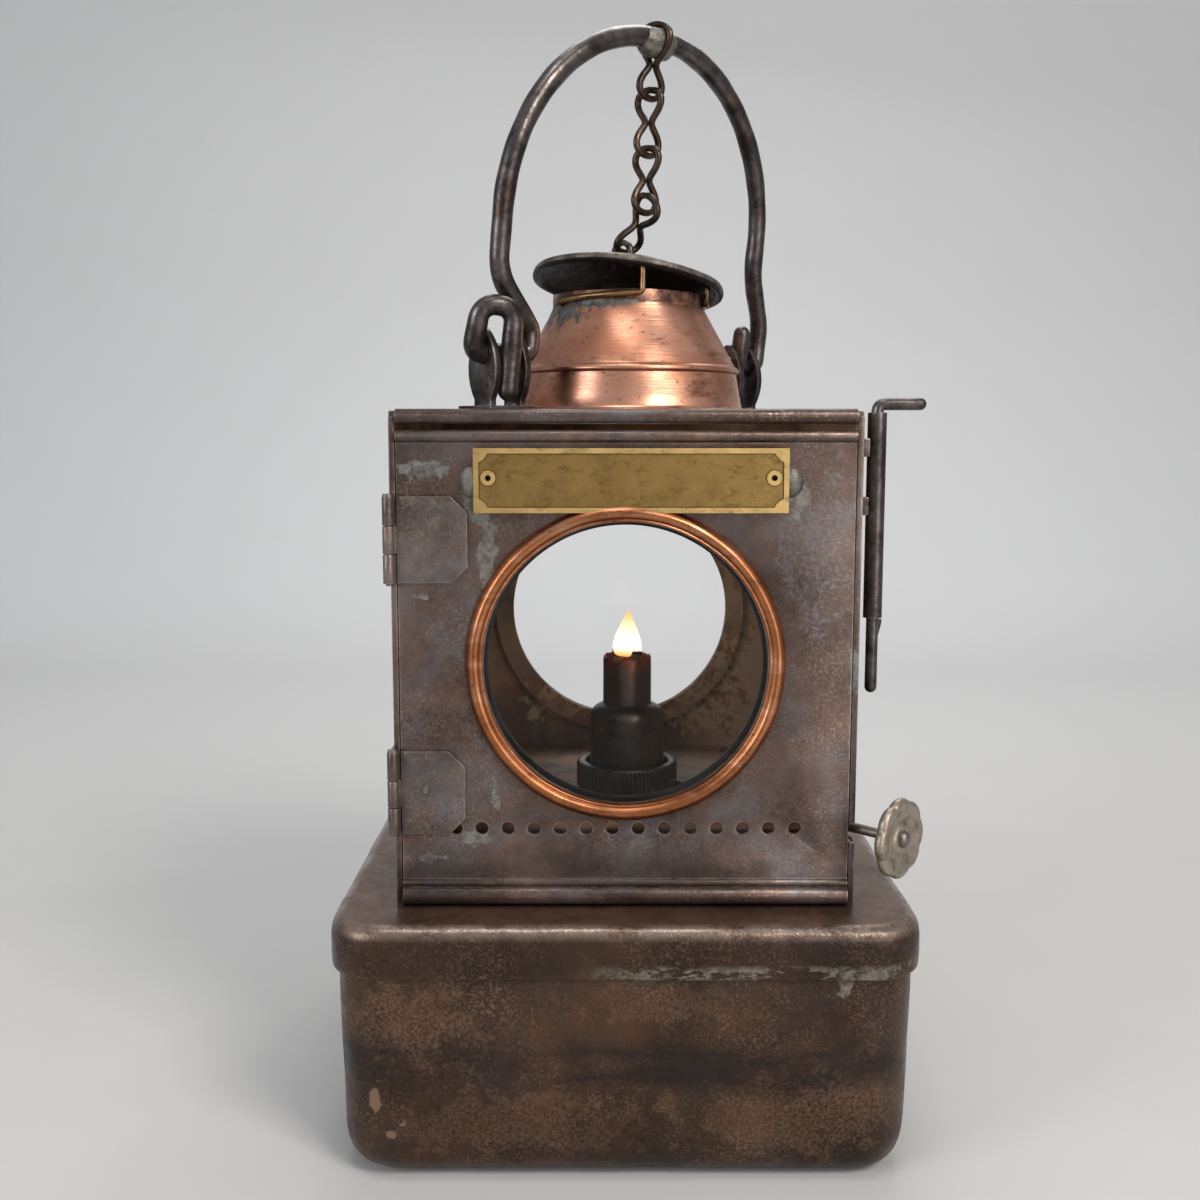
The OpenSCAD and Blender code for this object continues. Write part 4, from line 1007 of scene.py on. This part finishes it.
def chain_link(upper=LOOP):
    """One wire bent into a figure of eight and twisted a quarter turn at its waist. Its height
    is a cosine of the way round and its width a sine of twice that; the plane of the width
    turns from Y above the waist to X below it. At the waist the wires lie side by side.
    Round that line lies a closed wire: circles square to it, with their first spoke taken
    from the normal of the loop's plane less its part along the line. Its origin is the top
    of the upper loop, which has its own radius."""
    t = np.linspace(0, 2 * np.pi, 121)[:-1]
    loop = np.where(np.cos(t) > 0, upper, LOOP)
    z = np.cos(t) * (2 * loop + 0.15)
    wide = np.sin(2 * t) * loop * (1 - 0.12 * np.cos(2 * t))
    face = np.radians(45 + 45 * np.tanh(z / 2.2))
    aside = 0.95 * np.sin(t) * np.exp(-(z / 4.5) ** 2)
    x = wide * np.cos(face) - aside * np.sin(face)
    y = wide * np.sin(face) + aside * np.cos(face)
    line = np.stack([x, y, z - (2 * upper + 0.15)], axis=1)
    run = np.roll(line, -1, axis=0) - np.roll(line, 1, axis=0)
    run /= np.linalg.norm(run, axis=1, keepdims=True)
    normal = np.stack([-np.sin(face), np.cos(face), np.zeros_like(face)], axis=1)
    spoke = normal - run * np.sum(normal * run, axis=1, keepdims=True)
    spoke /= np.linalg.norm(spoke, axis=1, keepdims=True)
    a = np.linspace(0, 2 * np.pi, 16, endpoint=False)[None, :, None]
    return line[:, None] + LINK_WIRE / 2 * (spoke[:, None] * np.cos(a)
                                            + np.cross(run, spoke)[:, None] * np.sin(a))


def hang(name, link, place, body):
    """Puts one chain link where place() moves it."""
    surface(name + "_wire", place(link), chain_iron, body, [name], close_u=True, close_v=True)


def below_first(p, drop):
    """Places a link of the chain's middle, its top drop below the foot of the first link."""
    leaning = turn_x(p + (0, 0, 2.4 - drop), CHAIN_LEAN - BAIL_LEAN)
    return on_bail(leaning + (CHAIN_AT, 0, CHAIN_FOOT))


def above_eye(p):
    """Places the last link, with its foot in the cap's eye. It leans over to the others."""
    return on_bail(turn_x(p + (0, 0, 4 * LOOP + 0.3), LAST_LINK_LEAN)
                   + (CHAIN_AT, -0.2, EYE_Z + 0.4), 0)


link = chain_link()
hang("chain_link_1", chain_link(TOP_LOOP),
     lambda p: on_bail(p + (CHAIN_AT, 0, CROWN - 1.6 + TOP_LOOP)), "bail")
hang("chain_link_2", link, lambda p: below_first(p, 0), "chain_upper")
hang("chain_link_3", link, lambda p: below_first(p, 4 * LOOP - 1.85), "chain_upper")
hang("chain_link_4", link, above_eye, "chain_lower")

# The solder that holds the first link on the bail: a ball pulled out along the rod, with flats
# from a sine of three times the way round
u = np.linspace(0, np.pi, 26)[:, None]
v = np.linspace(0, 2 * np.pi, 40, endpoint=False)[None]
flats = np.sin(3 * v + 0.6)
facet = 1 + 0.1 * np.sign(flats) * flats ** 2 + 0.05 * np.sin(5 * u + 2 * v)
blob = np.stack([0.2 + CHAIN_AT + 7.2 * np.cos(u) * np.ones_like(v),
                 4.6 * facet * np.sin(u) ** 0.7 * np.cos(v),
                 CROWN - 1.3 + 4.2 * facet * np.sin(u) ** 0.7 * np.sin(v)], axis=-1)
surface("bail_solder", on_bail(blob), solder, "bail", ["chain_solder"], close_v=True)

# ---------------------------------------------------------------- burner, flame and wick drive

# The collar's knurl: 72 round ridges with grooves 0.75 mm deep, a sine cubed, on its upright band
collar_line = eased([[11.8, BURNER_FOOT], [14.6, BURNER_FOOT], [15.3, 92.1], [COLLAR_R, 92.8],
                     [COLLAR_R, 96.5], [COLLAR_R, 100.2], [15.3, 100.8], [14.7, 101.0],
                     [13.9, 101.0], [13.3, 100.7], [13.1, 99.9], [13.1, 98.2], [11.8, 97.8]], 5)
collar = turned(collar_line, 864, lambda a, r, z: np.where(
    (r > 15.4) & (z > 92.7) & (z < 100.3), 0.39 - 0.75 * np.abs(np.sin(36 * a)) ** 3, 0.0))
surface("burner_collar_knurled", collar + AXIS, burner_brass, "lamp_body",
        ["burner_collar"], close_u=True, close_v=True)
body_line = eased([[11.6, BURNER_FOOT], [BURNER_R, 100], [BURNER_R, 110], [11.62, 114.6],
                   [11.35, 116.4], [10.6, 117.8], [9.4, 118.7], [8.4, 119.1], [7.7, 119.4]], 6)
body_line = np.concatenate([body_line, body_line[::-1] - [0.9, 0.9]])
surface("burner_shoulder", turned(body_line, 96) + AXIS, burner_brass, "lamp_body",
        ["burner_body"], close_u=True, close_v=True)
# The wick tube's rim is uneven, and burnt away at one place in front
tube_line = [[TUBE_R, 100], [TUBE_R, 112], [TUBE_R, 124], [TUBE_R, 130], [TUBE_R, 133],
             [7.55, 134.2], [7.3, TUBE_TOP], [6.95, 134.3], [6.85, 133], [6.85, 124], [6.85, 100]]
tube = turned(tube_line, 120)
ragged = np.arctan2(tube[..., 1], tube[..., 0])
tube[..., 2] += np.where(tube[..., 2] > 134, 0.25 * np.sin(9 * ragged) * np.sin(4 * ragged)
                         - 1.3 * np.exp(-((ragged + 2.1) / 0.22) ** 2), 0)
surface("wick_tube_sheet", tube + AXIS, burner_brass, "lamp_body", ["wick_tube"],
        close_u=True, close_v=True)

flame_line = eased([[0.01, 134.1], [3.4, 134.5], [4.5, 135.8], [4.75, 137.6], [4.3, 139.9],
                    [3.4, 142.3], [2.2, 144.8], [1.05, 147.0], [0.35, 148.3], [0.01, 148.9]], 6)
# The flame stands on a flat wick: narrow from front to back, turned a little and leaning over
flame = turn_z(turned(flame_line, 40) * (1, 0.55, 1), -20)
flame[..., 0] += 0.5 * ((flame[..., 2] - 136) / 13) ** 2
surface("flame", flame + AXIS, flame_light, "wick", close_u=True)


def petals(a, r):
    """The knob's edge: eight round lobes, drawn in between them by a cosine of four times the
    way round, more toward the edge."""
    return 1 - 0.085 * (1 - np.abs(np.cos(4 * a)) ** 0.8) * (r / KNOB_R) ** 3


knob_line = eased([[0.01, 1.4], [2.6, 1.5], [3.6, 1.5], [4.6, 0.9], [6.4, 0.75], [8.4, 1.15],
                   [9.9, 1.5], [10.9, 1.1], [KNOB_R, 0.2], [10.9, -0.9], [9.8, -1.4], [7.6, -1.2],
                   [4.4, -1.3], [2.4, -1.5], [0.01, -1.5]], 5)
knob = turned(knob_line, 160)
way = np.arctan2(knob[..., 1], knob[..., 0])
far = np.hypot(knob[..., 0], knob[..., 1])
knob[..., :2] *= petals(way, far)[..., None]
# A low swelling on the face of each lobe
knob[..., 2] += np.where(knob[..., 2] > 0, 0.35 * np.exp(-((far - 8.2) / 1.9) ** 2)
                         * np.abs(np.cos(4 * way)) ** 2, 0)
surface("wick_knob_cast", on_shaft(knob + (0, 0, KNOB_AT)), knob_metal, "wick_drive",
        ["wick_knob"], close_u=True)

# ---------------------------------------------------------------- drop bolt

handle = evenly(bent([[0, 0, BOLT_FOOT], [0, 0, HANDLE_Z], [HANDLE, 0, HANDLE_Z]], [1.8]), 0.7)
surface("bolt_rod_bent", rod_along(handle, BOLT_R) + BOLT_AT, iron,
        "drop_bolt", ["bolt_rod"], close_v=True)

# ---------------------------------------------------------------- room and lights

def room(colour_floor, colour_wall):
    """A pale floor that curves up into a wall: straight, a quarter circle, and straight. It
    lies a little below the lamp, so that the two don't share a face."""
    curve, start, low = 400, 700, -0.4
    a = np.linspace(0, np.pi / 2, 14)
    bend = np.stack([start + curve * np.sin(a), low + curve * (1 - np.cos(a))], axis=1)
    line = np.concatenate([[[-6000, low]], bend, [[start + curve, 4000]]])
    x = np.array([-7000.0, 7000.0])
    n = len(line)
    p = np.stack([np.repeat(x[:, None], n, 1), np.repeat(line[None, :, 0], 2, 0),
                  np.repeat(line[None, :, 1], 2, 0)], axis=-1)
    mesh = bpy.data.meshes.new("studio_floor")
    faces = [(k, k + 1, n + k + 1, n + k) for k in range(n - 1)]
    mesh.from_pydata((p.reshape(-1, 3) / 1000).tolist(), [], faces)
    mesh.polygons.foreach_set("use_smooth", np.ones(len(mesh.polygons), dtype=bool))
    obj = bpy.data.objects.new("studio_floor", mesh)
    bpy.context.collection.objects.link(obj)
    # Pale matt plaster, lighter up the wall, with faint wide clouds
    m, tree, shader = new_material("pale_plaster")
    colour = over(tree, colour_floor, colour_wall, band(tree, "Y", 150, 900))
    colour = over(tree, colour, "#c2c2c0", times(tree, grain(tree, 60, 0.4, 0.7, 200.0), 0.12))
    finish_with(tree, shader, colour, 0.85, 0.0)
    wear(obj, m)


room("#b2b1af", "#cccccc")


def softbox(name, place_mm, aim_mm, size_mm, watts, colour="#ffffff"):
    """A square area light at a place, turned to its aim: the turn about X is the angle between
    straight down and the aim, and the turn about Z its direction on the floor."""
    data = bpy.data.lights.new(name, "AREA")
    data.size = size_mm / 1000
    data.energy = watts
    data.color = linear(colour)[:3]
    lamp = bpy.data.objects.new(name, data)
    bpy.context.collection.objects.link(lamp)
    place, aim = np.array(place_mm) / 1000, np.array(aim_mm) / 1000
    lamp.location = place
    way = aim - place
    flat = math.hypot(way[0], way[1])
    lamp.rotation_euler = (math.atan2(flat, -way[2]), 0, math.atan2(way[1], way[0]) - math.pi / 2)


softbox("key_right", (560, -760, 900), (0, 0, 150), 360, 9.5, "#fffaf4")
softbox("fill_left", (-850, -650, 450), (0, 0, 140), 500, 5.0, "#f4f7ff")
softbox("side_right", (620, -900, 160), (0, 0, 120), 600, 3.5)

# The flame's own light in the lamp room: it lights the walls but is never seen itself
glow_data = bpy.data.lights.new("flame_glow", "POINT")
glow_data.energy = 0.03
glow_data.color = linear("#ffdcb4")[:3]
glow_data.shadow_soft_size = 0.004
glow = bpy.data.objects.new("flame_glow", glow_data)
glow.location = (AXIS + (0, 0, 146)) / 1000
glow.visible_camera = False
glow.visible_glossy = False
bpy.context.collection.objects.link(glow)

softbox("top_front", (-60, -300, 1250), (0, -40, 120), 300, 2.5)
softbox("top_back", (100, 500, 1000), (0, 0, 200), 600, 5.0)

world = bpy.data.worlds.new("studio_air")
bpy.context.scene.world = world
world.use_nodes = True
world.node_tree.nodes["Background"].inputs["Color"].default_value = linear("#dfe2e6")
world.node_tree.nodes["Background"].inputs["Strength"].default_value = 0.58
bpy.context.scene.view_settings.view_transform = "Standard"
